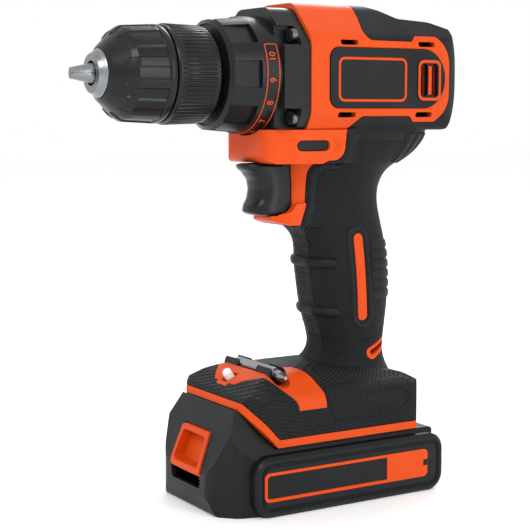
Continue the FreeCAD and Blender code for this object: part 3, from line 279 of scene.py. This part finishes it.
def circuit(name):
    """Green solder mask with copper tracks showing through."""
    n = Nodes(name)
    tracks = n.add("ShaderNodeTexBrick")
    tracks.inputs["Scale"].default_value = 120.0
    tracks.inputs["Mortar Size"].default_value = 0.06
    n.link(n.place, tracks.inputs["Vector"])
    n.link(n.mix(tracks.outputs["Fac"], (0.01, 0.11, 0.035), (0.10, 0.22, 0.05)),
           n.shader.inputs["Base Color"])
    n.link(n.spread(n.noise(80.0), 0.25, 0.4), n.shader.inputs["Roughness"])
    n.bump(tracks.outputs["Fac"], 0.2, 0.0001)
    return n.material


ORANGE = (0.56, 0.055, 0.003)
CHARCOAL = (0.0030, 0.0040, 0.0050)
RUBBER = (0.0045, 0.0058, 0.0070)
orange = moulded_plastic("orange_plastic", ORANGE, 0.42, 0.18, 0.05, 0.0, 0.12, 0.14)
charcoal = moulded_plastic("black_plastic", CHARCOAL, 0.40, 0.25, 0.12, 0.05, 0.3)
satin_black = moulded_plastic("satin_black_plastic", (0.0046, 0.0056, 0.0066), 0.30, 0.10, 0.12, 0.15, 0.3)
rubber = diamond_rubber("grip_rubber", RUBBER, low=0.0, high=0.1665, handle=0.041)
pad_rubber = diamond_rubber("pad_rubber", RUBBER)
smooth_rubber = moulded_plastic("smooth_rubber", RUBBER, 0.50, 0.35, 0.10, 0.0, 0.3)
steel = turned_metal("steel", (0.30, 0.31, 0.32), 0.30)
dark_steel = turned_metal("dark_steel", (0.17, 0.17, 0.17), 0.36)
gear_steel = turned_metal("gear_steel", (0.32, 0.31, 0.30), 0.45)
copper = turned_metal("copper", (0.80, 0.42, 0.24), 0.25)
ferrite = moulded_plastic("dark_ferrite", (0.02, 0.02, 0.022), 0.75, 0.5, 0.2)
cell_wrap = moulded_plastic("cell_wrap", (0.03, 0.16, 0.32), 0.25, 0.05, 0.1, 0.4)
board = circuit("circuit_green")
lens = clear_lens("lamp_clear")
# painted shade: near-black stands in for the shade inside the grip's groove lines
groove_shade = moulded_plastic("groove_shade", (0.002, 0.002, 0.002), 0.8, 0.1, 0.2)

FINISHES = {
    "orange_plastic": orange, "grip_rubber": rubber, "black_plastic": charcoal, "steel": steel,
    "gear_steel": gear_steel, "copper": copper, "dark_ferrite": ferrite, "circuit_green": board,
    "cell_wrap": cell_wrap, "lamp_clear": lens,
}
SPECIAL = {
    "gearbox_case": satin_black, "vent_grilles": satin_black, "torque_collar": satin_black,
    "front_sleeve": satin_black, "rear_sleeve": satin_black, "trigger": charcoal,
    "gearbox_screws": dark_steel, "housing_screws": dark_steel,
    "battery_screws": dark_steel, "jaw_nut": dark_steel, "armature": dark_steel,
}


def paint(piece, material):
    piece.data.materials.clear()
    piece.data.materials.append(material)


slot_of = {entry["node"]: entry["material_slot"] for entry in frame["record"]["subparts"]}
for name, node in NODES.items():
    paint(node, SPECIAL.get(name, FINISHES[slot_of[name]]))



# ---------------------------------------------------------------- surfaces to build on

def surface_of(*nodes):
    """The CAD surfaces of some nodes, ready for casting rays at."""
    points, faces = [], []
    for node in nodes:
        mesh = NODES[node].data
        start = len(points)
        points += [vertex.co.copy() for vertex in mesh.vertices]
        faces += [[start + index for index in polygon.vertices] for polygon in mesh.polygons]
    return BVHTree.FromPolygons(points, faces)


HOUSING = surface_of("left_shell", "right_shell", "left_grip", "right_grip", "left_panel", "right_panel")
BATTERY = surface_of("battery_base", "battery_cover", "battery_labels")
HANDLE_X = 0.041


def from_side(surface, side):
    """Places on a surface seen square on from one side (-1 is the left), by x and z."""
    def place(x, z):
        hit = surface.ray_cast(Vector((x, side * 0.1, z)), Vector((0, -side, 0)))
        return (hit[0], hit[1]) if hit[0] else (None, None)
    return place


def from_round(surface, centre_x):
    """Places round an upright axis, by angle from +X (towards +Y) and z."""
    def place(angle, z):
        outward = Vector((math.cos(angle), math.sin(angle), 0))
        start = Vector((centre_x, 0, z)) + outward * 0.09
        hit = surface.ray_cast(start, -outward)
        return (hit[0], hit[1]) if hit[0] else (None, None)
    return place


# ---------------------------------------------------------------- outlines

def rounded(corners, step=1.0):
    """Points along an outline of (u, v) or (u, v, radius) corners, in millimetres."""
    flat = [(Vector(corner[:2]), corner[2] if len(corner) > 2 else 0.0) for corner in corners]
    points = []
    for index, (corner, radius) in enumerate(flat):
        before = (flat[index - 1][0] - corner)
        after = (flat[(index + 1) % len(flat)][0] - corner)
        if radius:
            before.normalize()
            after.normalize()
            half = before.angle(after) / 2
            reach = radius / math.tan(half)
            centre = corner + (before + after).normalized() * (radius / math.sin(half))
            first = corner + before * reach - centre
            turn = first.angle_signed(corner + after * reach - centre)
            count = max(3, int(abs(turn) * radius / step) + 2)
            for k in range(count + 1):
                angle = -turn * k / count
                points.append(centre + Matrix.Rotation(angle, 2) @ first)
        else:
            points.append(corner)
    return resampled(points, step)


def resampled(points, step, closed=True):
    """Adds points so that no gap along the outline is longer than step."""
    result = []
    ends = range(len(points)) if closed else range(len(points) - 1)
    for index in ends:
        start, end = points[index], points[(index + 1) % len(points)]
        count = max(1, math.ceil((end - start).length / step))
        result += [start.lerp(end,
                              k / count) for k in range(count) if count > 1 or (end - start).length > 1e-6]
    if not closed:
        result.append(points[-1])
    return result


def capsule(first, last, width, step=1.0):
    """The outline of a bar with round ends."""
    first, last = Vector(first), Vector(last)
    along = (last - first).normalized()
    across = Vector((-along.y, along.x)) * width / 2
    points = []
    for centre, start in ((first, across), (last, -across)):
        points += [centre + Matrix.Rotation(math.pi * k / 8, 2) @ start for k in range(9)]
    return resampled(points, step)


def inside(point, outline):
    """Whether a flat point lies within an outline."""
    within = False
    for a, b in zip(outline, outline[1:] + outline[:1]):
        if (a.y > point.y) != (b.y > point.y):
            if point.x < (b.x - a.x) * (point.y - a.y) / (b.y - a.y) + a.x:
                within = not within
    return within


def edge_distance(point, outlines):
    """How far a flat point is from the nearest of some closed outlines."""
    best = 1e9
    for outline in outlines:
        for a, b in zip(outline, outline[1:] + outline[:1]):
            along = b - a
            share = max(0.0, min(1.0, (point - a).dot(along) / max(along.length_squared, 1e-12)))
            best = min(best, (point - a - along * share).length)
    return best


# ---------------------------------------------------------------- pieces that follow a surface

def finish_piece(name, mesh_builder, material, body):
    """Turns a bmesh into a piece of the drill that moves with one CAD body."""
    bmesh.ops.recalc_face_normals(mesh_builder, faces=mesh_builder.faces)
    mesh = bpy.data.meshes.new(name)
    mesh_builder.to_mesh(mesh)
    mesh_builder.free()
    for polygon in mesh.polygons:
        polygon.use_smooth = True
    mesh.set_sharp_from_angle(angle=math.radians(38))
    piece = bpy.data.objects.new(name, mesh)
    bpy.context.scene.collection.objects.link(piece)
    mesh.materials.append(material)
    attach(piece, body)
    return piece


def patch(name, outline, place, rise, material, body="housing", holes=(), edge=0.5, step=1.2,
          unit=(MM, MM), sink=0.25):
    """A raised patch following a surface. Its outline is in millimetres, or in what unit makes of them."""
    flat, segments = [], []
    for loop in [outline, *holes]:
        start = len(flat)
        flat += loop
        segments += [(start + k, start + (k + 1) % len(loop)) for k in range(len(loop))]
    low = Vector((min(p.x for p in outline), min(p.y for p in outline)))
    high = Vector((max(p.x for p in outline), max(p.y for p in outline)))
    loops = [outline, *holes]
    row = 0
    v = low.y + step / 2
    while v < high.y:
        u = low.x + step * (0.25 if row % 2 else 0.75)
        while u < high.x:
            point = Vector((u, v))
            if inside(point, outline) and not any(inside(point, hole) for hole in holes):
                if edge_distance(point, loops) > step * 0.45:
                    flat.append(point)
            u += step
        v += step * 0.87
        row += 1
    for loop in loops:
        for k, point in enumerate(loop):
            along = (loop[(k + 1) % len(loop)] - loop[k - 1]).normalized()
            for inward in (Vector((-along.y, along.x)), Vector((along.y, -along.x))):
                inner = point + inward * edge
                if inside(inner, outline) and not any(inside(inner, hole) for hole in holes):
                    if edge_distance(inner, loops) > edge * 0.8:
                        flat.append(inner)
    from_cdt = delaunay_2d_cdt(flat, segments, [], 1, 1e-5)
    points, triangles = from_cdt[0], from_cdt[2]
    maker = bmesh.new()
    top = []
    for point in points:
        hit, normal = place(point.x * unit[0], point.y * unit[1])
        if hit is None:
            top.append(None)
            continue
        share = min(1.0, edge_distance(point, loops) / edge)
        height = rise * MM * math.sqrt(max(0.0, 1 - (1 - share) ** 2))
        top.append(maker.verts.new(hit + normal * (height - (0.02 * MM if share < 0.01 else 0))))
    for triangle in triangles:
        centre = sum((points[k] for k in triangle), Vector((0, 0))) / 3
        corners = [top[k] for k in triangle]
        if None in corners or any(inside(centre, hole) for hole in holes) or not inside(centre, outline):
            continue
        maker.faces.new(corners)
    rims = [edge_ for edge_ in maker.edges if len(edge_.link_faces) == 1]
    skirt = bmesh.ops.extrude_edge_only(maker, edges=rims)["geom"]
    maker.normal_update()
    middle = sum((vertex.co for vertex in maker.verts), Vector()) / max(1, len(maker.verts))
    for vertex in [item for item in skirt if isinstance(item, bmesh.types.BMVert)]:
        near = place_inward(vertex.co, middle)
        vertex.co += near * sink * MM
    return finish_piece(name, maker, material, body)


def place_inward(point, middle):
    """A direction from a place on the skin towards the drill's middle plane."""
    return Vector((0, -math.copysign(1.0, point.y), 0)) if abs(middle.y) > 0.004 else (
        Vector((HANDLE_X, 0, point.z)) - point).normalized()


def bead(name, path, place, width, rise, material, body="housing", closed=True, unit=(MM, MM)):
    """A line along a surface: a low half-round bead, or, where rise is nearly nothing, a flat line whose dark
    material is painted shade standing in for a groove.
    """
    hits = [place(point.x * unit[0], point.y * unit[1]) for point in path]
    hits = [(hit, normal) for hit, normal in hits if hit is not None]
    if len(hits) < 2:
        return None
    maker = bmesh.new()
    rows = []
    for index, (hit, normal) in enumerate(hits):
        before = hits[index - 1] if (closed or index) else hits[index]
        after = hits[(index + 1) % len(hits)] if (closed or index < len(hits) - 1) else hits[index]
        along = (after[0] - before[0]).normalized()
        across = along.cross(normal).normalized() * width * MM / 2
        section = [(-1.0, -0.12), (-0.7, rise * 0.75), (0.0, rise), (0.7, rise * 0.75), (1.0, -0.12)]
        rows.append([maker.verts.new(hit + across * a + normal * b * MM) for a, b in section])
    pairs = zip(rows, rows[1:] + rows[:1]) if closed else zip(rows, rows[1:])
    for first, second in pairs:
        for k in range(4):
            maker.faces.new((first[k], first[k + 1], second[k + 1], second[k]))
    return finish_piece(name, maker, material, body)


def both_sides(make):
    """Runs make(prefix, side) for the left and the right of the drill."""
    for prefix, side in (("left", -1), ("right", 1)):
        make(prefix, side)


# ---------------------------------------------------------------- grip: borders, finger bars, ribs and seams

ROUND = 19.0    # millimetres of outline per radian round the handle
WRAP = (1 / ROUND, MM)
AROUND = from_round(HOUSING, HANDLE_X)

GRIP_BORDER = [(60.0, 167.0), (28.6, 167.0, 1), (27.0, 153.4, 6), (13.8, 153.4, 6), (13.5, 134),
               (11.2, 126.2),
               (14.8, 125.7), (17.0, 134), (17.0, 150.2, 4), (30.2, 150.2, 6), (32.2, 163.6, 2), (60.0,
                                                                                                  163.6)]
STRIPE_ENDS = [(39.4, 118.1), (42.8, 82.2)]


def grip_sides(prefix, side):
    place = from_side(HOUSING, side)
    patch(f"{prefix}_grip_border", rounded(GRIP_BORDER), place, 0.5, smooth_rubber, edge=0.7)
    top, bottom = (Vector(end) for end in STRIPE_ENDS)
    ring = capsule(top + Vector((0, 0.6)), bottom - Vector((0, 0.6)), 11.6)
    patch(f"{prefix}_stripe_border", ring, place, 0.55, smooth_rubber,
          holes=[capsule(top, bottom, 7.2)], edge=0.7)


both_sides(grip_sides)

for name, height, reach in (("upper", 107.2, 17.6), ("lower", 84.2, 19.2)):
    front = math.pi * ROUND
    bar = capsule((front - reach + 2.5, height), (front + reach - 2.5, height), 4.8)
    patch(f"finger_bar_{name}", bar, AROUND, 1.5, smooth_rubber, edge=2.0, unit=WRAP, step=0.9)
    border = rounded([(front - reach, height - 6.3, 6), (front - reach, height + 6.3, 6),
                      (front + reach, height + 6.3, 6), (front + reach, height - 6.3, 6)])
    bead(f"finger_border_{name}", border, AROUND, 0.7, 0.22, smooth_rubber, unit=WRAP)

BACK_RIBS, BACK_PITCH = 6, 4.7
for index in range(BACK_RIBS):
    low = 88.6 + index * BACK_PITCH
    rib = rounded([(-23.5, low + 1.2, 1.2), (-23.5, low + 5.3, 1.2), (0, low + 4.1, 20),
                   (23.5, low + 5.3, 1.2),
                   (23.5, low + 1.2, 1.2), (0, low, 20)])
    patch(f"back_rib_{index + 1}", rib, AROUND, 0.6, smooth_rubber, edge=0.8, unit=WRAP,
          step=1.0)

FLARE_RIBS, FLARE_TURN = 11, math.radians(8.5)
for index in range(FLARE_RIBS):
    middle = (index - (FLARE_RIBS - 1) / 2) * FLARE_TURN * ROUND
    rib = rounded([(middle - 1.2, 152.5, 0.8), (middle - 1.2, 166.9, 0.8), (middle + 1.2, 166.9, 0.8),
                   (middle + 1.2, 152.5, 0.8)])
    patch(f"flare_rib_{index + 1}", rib, AROUND, 0.7, smooth_rubber, edge=0.6, unit=WRAP,
          step=0.9)

# the grip's groove lines are flat near-black beads of painted shade
full_turn = [Vector((2 * math.pi * ROUND * k / 120, 71.5 + 1.2 * math.cos(4 * math.pi * k / 120)
                     + 0.75 * math.cos(2 * math.pi * k / 120))) for k in range(120)]
bead("grip_lower_seam_shade", full_turn, AROUND, 0.5, 0.02, groove_shade, unit=WRAP)
front_seam_shade = [Vector((math.pi * ROUND, 122.0 - k)) for k in range(58)]
bead("front_seam_shade", front_seam_shade, AROUND, 0.4, 0.02, groove_shade, closed=False, unit=WRAP)

# ---------------------------------------------------------------- barrel: framed panels, vents and arrow

PANEL_LINE = [(20.9, 181.4, 2.6), (20.9, 200.0, 2.6), (57.4, 200.0, 2.6), (57.4, 181.4, 2.6)]
VENT_RING = [(64.2, 181.4, 3.2), (64.2, 200.0, 3.2), (77.5, 200.0, 3.2), (77.5, 181.4, 3.2)]
VENT_INSIDE = [(65.6, 182.8, 2.0), (65.6, 198.6, 2.0), (76.1, 198.6, 2.0), (76.1, 182.8, 2.0)]
VENTS = surface_of("vent_grilles", "left_panel", "right_panel")


def barrel_sides(prefix, side):
    place = from_side(HOUSING, side)
    bead(f"{prefix}_panel_frame", rounded(PANEL_LINE), place, 1.3, 0.3, orange)
    vent_place = from_side(VENTS, side)
    patch(f"{prefix}_vent_ring", rounded(VENT_RING), vent_place, 0.3, orange,
          holes=[rounded(VENT_INSIDE)], edge=0.4, step=0.9)
    patch(f"{prefix}_vent_bar", rounded([(69.5, 184.2, 0.8), (69.5, 197.2, 0.8), (72.1, 197.2, 0.8),
                                         (72.1, 184.2, 0.8)]), vent_place, 0.3, orange,
          edge=0.4, step=0.9)
    for number, start in enumerate((20.6, 22.4), start=1):
        arrow = resampled([Vector((start, 163.9)), Vector((start + 2.0, 161.5)), Vector((start, 159.1))],
                          0.6, False)
        bead(f"{prefix}_arrow_{number}", arrow, place, 0.8, 0.35, orange, closed=False)


both_sides(barrel_sides)

# ---------------------------------------------------------------- foot and battery sides

FOOT_PAD = [(12.6, 54.0, 2), (13.0, 43.0, 5), (17.6, 37.4, 4), (53.6, 38.4, 5), (60.6, 44.0, 4),
            (61.6, 50.0, 3),
            (58.5, 54.0, 3)]
FOOT_SMOOTH = [(34.0, 40.6, 3), (34.0, 49.0, 3), (57.4, 49.4, 4), (57.4, 41.4, 4)]
LABEL_DARK = [(-22.1, 8.7, 1.4), (-22.1, 18.9, 1.4), (42.0, 18.9, 0.3), (42.0, 8.7, 0.3)]
LABEL_NOTCH = [(62.8, 12.4, 0.7), (62.8, 15.4, 0.7), (65.6, 15.4, 0.3), (65.6, 12.4, 0.3)]


def lower_sides(prefix, side):
    place = from_side(HOUSING, side)
    patch(f"{prefix}_foot_pad", rounded(FOOT_PAD), place, 0.35, pad_rubber,
          holes=[rounded(FOOT_SMOOTH)], edge=0.5)
    bead(f"{prefix}_foot_pad_line", rounded(FOOT_SMOOTH), place, 0.5, 0.25, smooth_rubber)
    place = from_side(BATTERY, side)
    patch(f"{prefix}_label_field", rounded(LABEL_DARK), place, 0.15, charcoal,
          body="battery",
          edge=0.2)
    patch(f"{prefix}_label_notch", rounded(LABEL_NOTCH), place, 0.12, charcoal,
          body="battery",
          edge=0.2, step=0.7)


both_sides(lower_sides)

# ---------------------------------------------------------------- torque collar

COLLAR = surface_of("torque_collar")
COLLAR_ROUND = 25.8
NUMBER_STEP = math.radians(22.5)
FIRST_NUMBER = math.radians(-17.0)


def round_spindle(surface):
    """Places round the spindle axis, by angle below the left horizontal and by x."""
    def place(angle, x):
        outward = Vector((0, -math.cos(angle), -math.sin(angle)))
        hit = surface.ray_cast(Vector((x, 0, SPINDLE_Z)) + outward * 0.05, -outward)
        return (hit[0], hit[1]) if hit[0] else (None, None)
    return place


ROUND_COLLAR = round_spindle(COLLAR)
COLLAR_UNIT = (1 / COLLAR_ROUND, MM)


def number_on_collar(text, angle):
    """Raised figures on the collar's number band, their feet towards the handle."""
    curve = bpy.data.curves.new(f"figures_{text}", "FONT")
    curve.body = text
    curve.size = 4.3
    curve.align_x = "CENTER"
    curve.align_y = "CENTER"
    curve.offset = 0.03
    holder = bpy.data.objects.new(f"figures_{text}", curve)
    bpy.context.scene.collection.objects.link(holder)
    bpy.context.view_layer.update()
    flat = bpy.data.meshes.new_from_object(holder.evaluated_get(bpy.context.evaluated_depsgraph_get()))
    bpy.data.objects.remove(holder)
    maker = bmesh.new()
    maker.from_mesh(flat)
    bpy.data.meshes.remove(flat)
    bmesh.ops.triangulate(maker, faces=maker.faces)
    bmesh.ops.subdivide_edges(maker, edges=maker.edges, cuts=1)
    bmesh.ops.triangulate(maker, faces=maker.faces)
    for vertex in maker.verts:
        hit, normal = ROUND_COLLAR(angle - vertex.co.x / COLLAR_ROUND, (-11.65 - vertex.co.y) * MM)
        vertex.co = hit + normal * 0.14 * MM
    rims = [edge_ for edge_ in maker.edges if len(edge_.link_faces) == 1]
    skirt = bmesh.ops.extrude_edge_only(maker, edges=rims)["geom"]
    for vertex in [item for item in skirt if isinstance(item, bmesh.types.BMVert)]:
        radial = Vector((0, vertex.co.y, vertex.co.z - SPINDLE_Z)).normalized()
        vertex.co -= radial * 0.3 * MM
    return finish_piece(f"collar_number_{text}", maker, orange, "torque_collar")


for number in range(1, 11):
    number_on_collar(str(number), FIRST_NUMBER + (10 - number) * NUMBER_STEP)

band_start, band_end = math.radians(-30.0) * COLLAR_ROUND, math.radians(197.0) * COLLAR_ROUND
band = rounded([(band_start, -14.6, 0.9), (band_start, -8.7, 0.9), (band_end, -8.7, 0.9),
                (band_end, -14.6, 0.9)])
bead("collar_band", band, ROUND_COLLAR, 0.55, 0.14, orange, body="torque_collar",
     unit=COLLAR_UNIT)
mark_at = math.radians(-90.0) * COLLAR_ROUND
patch("collar_mark", rounded([(mark_at - 1.6, -20.4, 0.5), (mark_at - 1.6, -17.4, 0.5),
                              (mark_at + 1.6, -17.4, 0.5),
                              (mark_at + 1.6, -20.4, 0.5)]), ROUND_COLLAR, 0.3, orange,
      body="torque_collar", unit=COLLAR_UNIT, edge=0.3, step=0.8, sink=0.0)

# ---------------------------------------------------------------- chuck sleeves

ROUND_FRONT = round_spindle(surface_of("front_sleeve"))
ROUND_REAR = round_spindle(surface_of("rear_sleeve"))
SLEEVE_ROUND = 20.6
SLEEVE_UNIT = (1 / SLEEVE_ROUND, MM)
GRIP_LANDS, FINE_RIBS = 14, 66
for index in range(GRIP_LANDS):
    middle = 2 * math.pi * (index + 0.5) / GRIP_LANDS * SLEEVE_ROUND
    land = rounded([(middle - 2.5, -58.4, 0.9), (middle - 2.5, -77.5, 2.2), (middle + 2.5, -77.5, 2.2),
                    (middle + 2.5, -58.4, 0.9)])
    patch(f"sleeve_land_{index + 1}", land, ROUND_FRONT, 0.6, satin_black,
          body="chuck_sleeve",
          unit=SLEEVE_UNIT, edge=0.8, step=1.1, sink=0.0)


def turned_piece(name, profile, material, body, count=120):
    """A ring turned about the spindle axis from a closed profile of (x, radius) points in millimetres."""
    maker = bmesh.new()
    rows = []
    for k in range(count):
        turn = 2 * math.pi * k / count
        rows.append([maker.verts.new(Vector((x * MM, radius * MM * math.cos(turn),
                                             SPINDLE_Z + radius * MM * math.sin(turn)))) for x, radius in profile])
    for first, second in zip(rows, rows[1:] + rows[:1]):
        for k in range(len(profile)):
            after = (k + 1) % len(profile)
            maker.faces.new((first[k], first[after], second[after], second[k]))
    return finish_piece(name, maker, material, body)


turned_piece("sleeve_rim", [(-59.2, 20.0), (-58.9, 20.9), (-58.2, 21.25), (-56.4, 21.25), (-55.7, 20.9),
                            (-55.4, 20.2), (-56.0, 19.6), (-58.6, 19.6)],
             satin_black, "chuck_sleeve")


def fine_ribs():
    """Fine lengthwise ribs round the rear sleeve."""
    maker = bmesh.new()
    for index in range(FINE_RIBS):
        turn = 2 * math.pi * index / FINE_RIBS
        rows = []
        for x, height in ((-53.2, 0.0), (-52.6, 0.42), (-37.4, 0.42), (-36.8, 0.0)):
            row = []
            for part, share in ((-0.030, -0.2), (-0.016, 0.9), (0.0, 1.0), (0.016, 0.9), (0.030, -0.2)):
                hit, normal = ROUND_REAR(turn + part, x * MM)
                row.append(maker.verts.new(hit + normal * height * share * MM))
            rows.append(row)
        for first, second in zip(rows, rows[1:]):
            for k in range(4):
                maker.faces.new((first[k], first[k + 1], second[k + 1], second[k]))
    return finish_piece("sleeve_ribs", maker, satin_black, "spindle")


fine_ribs()

# ---------------------------------------------------------------- trigger

TRIGGER_LOW, TRIGGER_HIGH = (corner.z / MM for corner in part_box("trigger"))
TRIGGER_HALF = 9.6
# the two side walls behind the blade, in x and z, which reach back into the handle past the switch
TRIGGER_WALL = [(3.0, 130.6), (5.8, 130.6), (5.8, 133.2), (9.4, 135.2), (9.4, 152.4), (3.0, 152.4)]
WALL_THICK = 0.32
TRIGGER_FRONT = [(129.9, -9.4), (131.5, -10.5), (134.0, -10.0), (137.5, -8.0), (141.5, -7.2), (145.5, -8.0),
                 (148.8, -10.6), (151.2, -13.6), (152.6, -14.3), (153.2, -13.6)]


def between(table, value):
    """Reads a smooth curve through a few (place, value) pairs."""
    value = max(table[0][0], min(table[-1][0], value))
    for (a, first), (b, second) in zip(table, table[1:]):
        if value <= b:
            share = (value - a) / (b - a)
            share = share * share * (3 - 2 * share) * 0.35 + share * 0.65
            return first + (second - first) * share


def make_trigger():
    """The trigger: a rounded blade with a finger hollow, over a stem into the switch."""
    maker = bmesh.new()
    rows, levels, around = [], 44, 40
    for level in range(levels + 1):
        z = TRIGGER_LOW + (TRIGGER_HIGH - TRIGGER_LOW) * level / levels
        near_end = min(z - TRIGGER_LOW, TRIGGER_HIGH - z)
        tuck = max(0.0, 1 - near_end / 1.6)
        shrink = 1.6 * (1 - math.sqrt(max(0.0, 1 - tuck * tuck)))
        front = between(TRIGGER_FRONT, z) + shrink
        back, half = 4.0 - shrink * 0.5, TRIGGER_HALF - shrink
        row = []
        for k in range(around + 1):
            turn = math.pi * (k / around - 0.5)
            nose = abs(math.cos(turn)) ** 0.62
            y = half * math.copysign(abs(math.sin(turn)) ** 0.8, math.sin(turn))
            x = back - (back - front) * nose
            row.append(maker.verts.new(Vector((x, y, z)) * MM))
        rows.append(row)
    for first, second in zip(rows, rows[1:]):
        for k in range(around):
            maker.faces.new((first[k], first[k + 1], second[k + 1], second[k]))
        maker.faces.new((first[around], first[0], second[0], second[around]))
    for row in (rows[0], rows[-1]):
        maker.faces.new(row)
    stem = []
    for x in (2.0, 14.8):
        stem.append([maker.verts.new(Vector((x, 2.3 * math.cos(a), 141.0 + 2.3 * math.sin(a))) * MM)
                     for a in (2 * math.pi * k / 24 for k in range(24))])
    for k in range(24):
        maker.faces.new((stem[0][k], stem[0][(k + 1) % 24], stem[1][(k + 1) % 24], stem[1][k]))
    maker.faces.new(stem[0])
    maker.faces.new(stem[1])
    for side in (-1, 1):
        outer, inner = ([maker.verts.new(Vector((x, side * y, z)) * MM) for x, z in TRIGGER_WALL]
                        for y in (TRIGGER_HALF, TRIGGER_HALF - WALL_THICK))
        maker.faces.new(outer)
        maker.faces.new(inner)
        for k in range(len(outer)):
            after = (k + 1) % len(outer)
            maker.faces.new((outer[k], outer[after], inner[after], inner[k]))
    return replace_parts(finish_piece("trigger_blade", maker, satin_black, "trigger"),
                       "trigger")


make_trigger()


def make_trigger_spring():
    """The spring behind the trigger: a copy of the CAD spring, painted steel and fixed to the housing."""
    mesh = NODES["trigger_spring"].data.copy()
    coil = bpy.data.objects.new("trigger_coil", mesh)
    bpy.context.scene.collection.objects.link(coil)
    paint(coil, steel)
    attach(coil, "housing")
    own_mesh(coil)
    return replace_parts(coil, "trigger_spring")


make_trigger_spring()
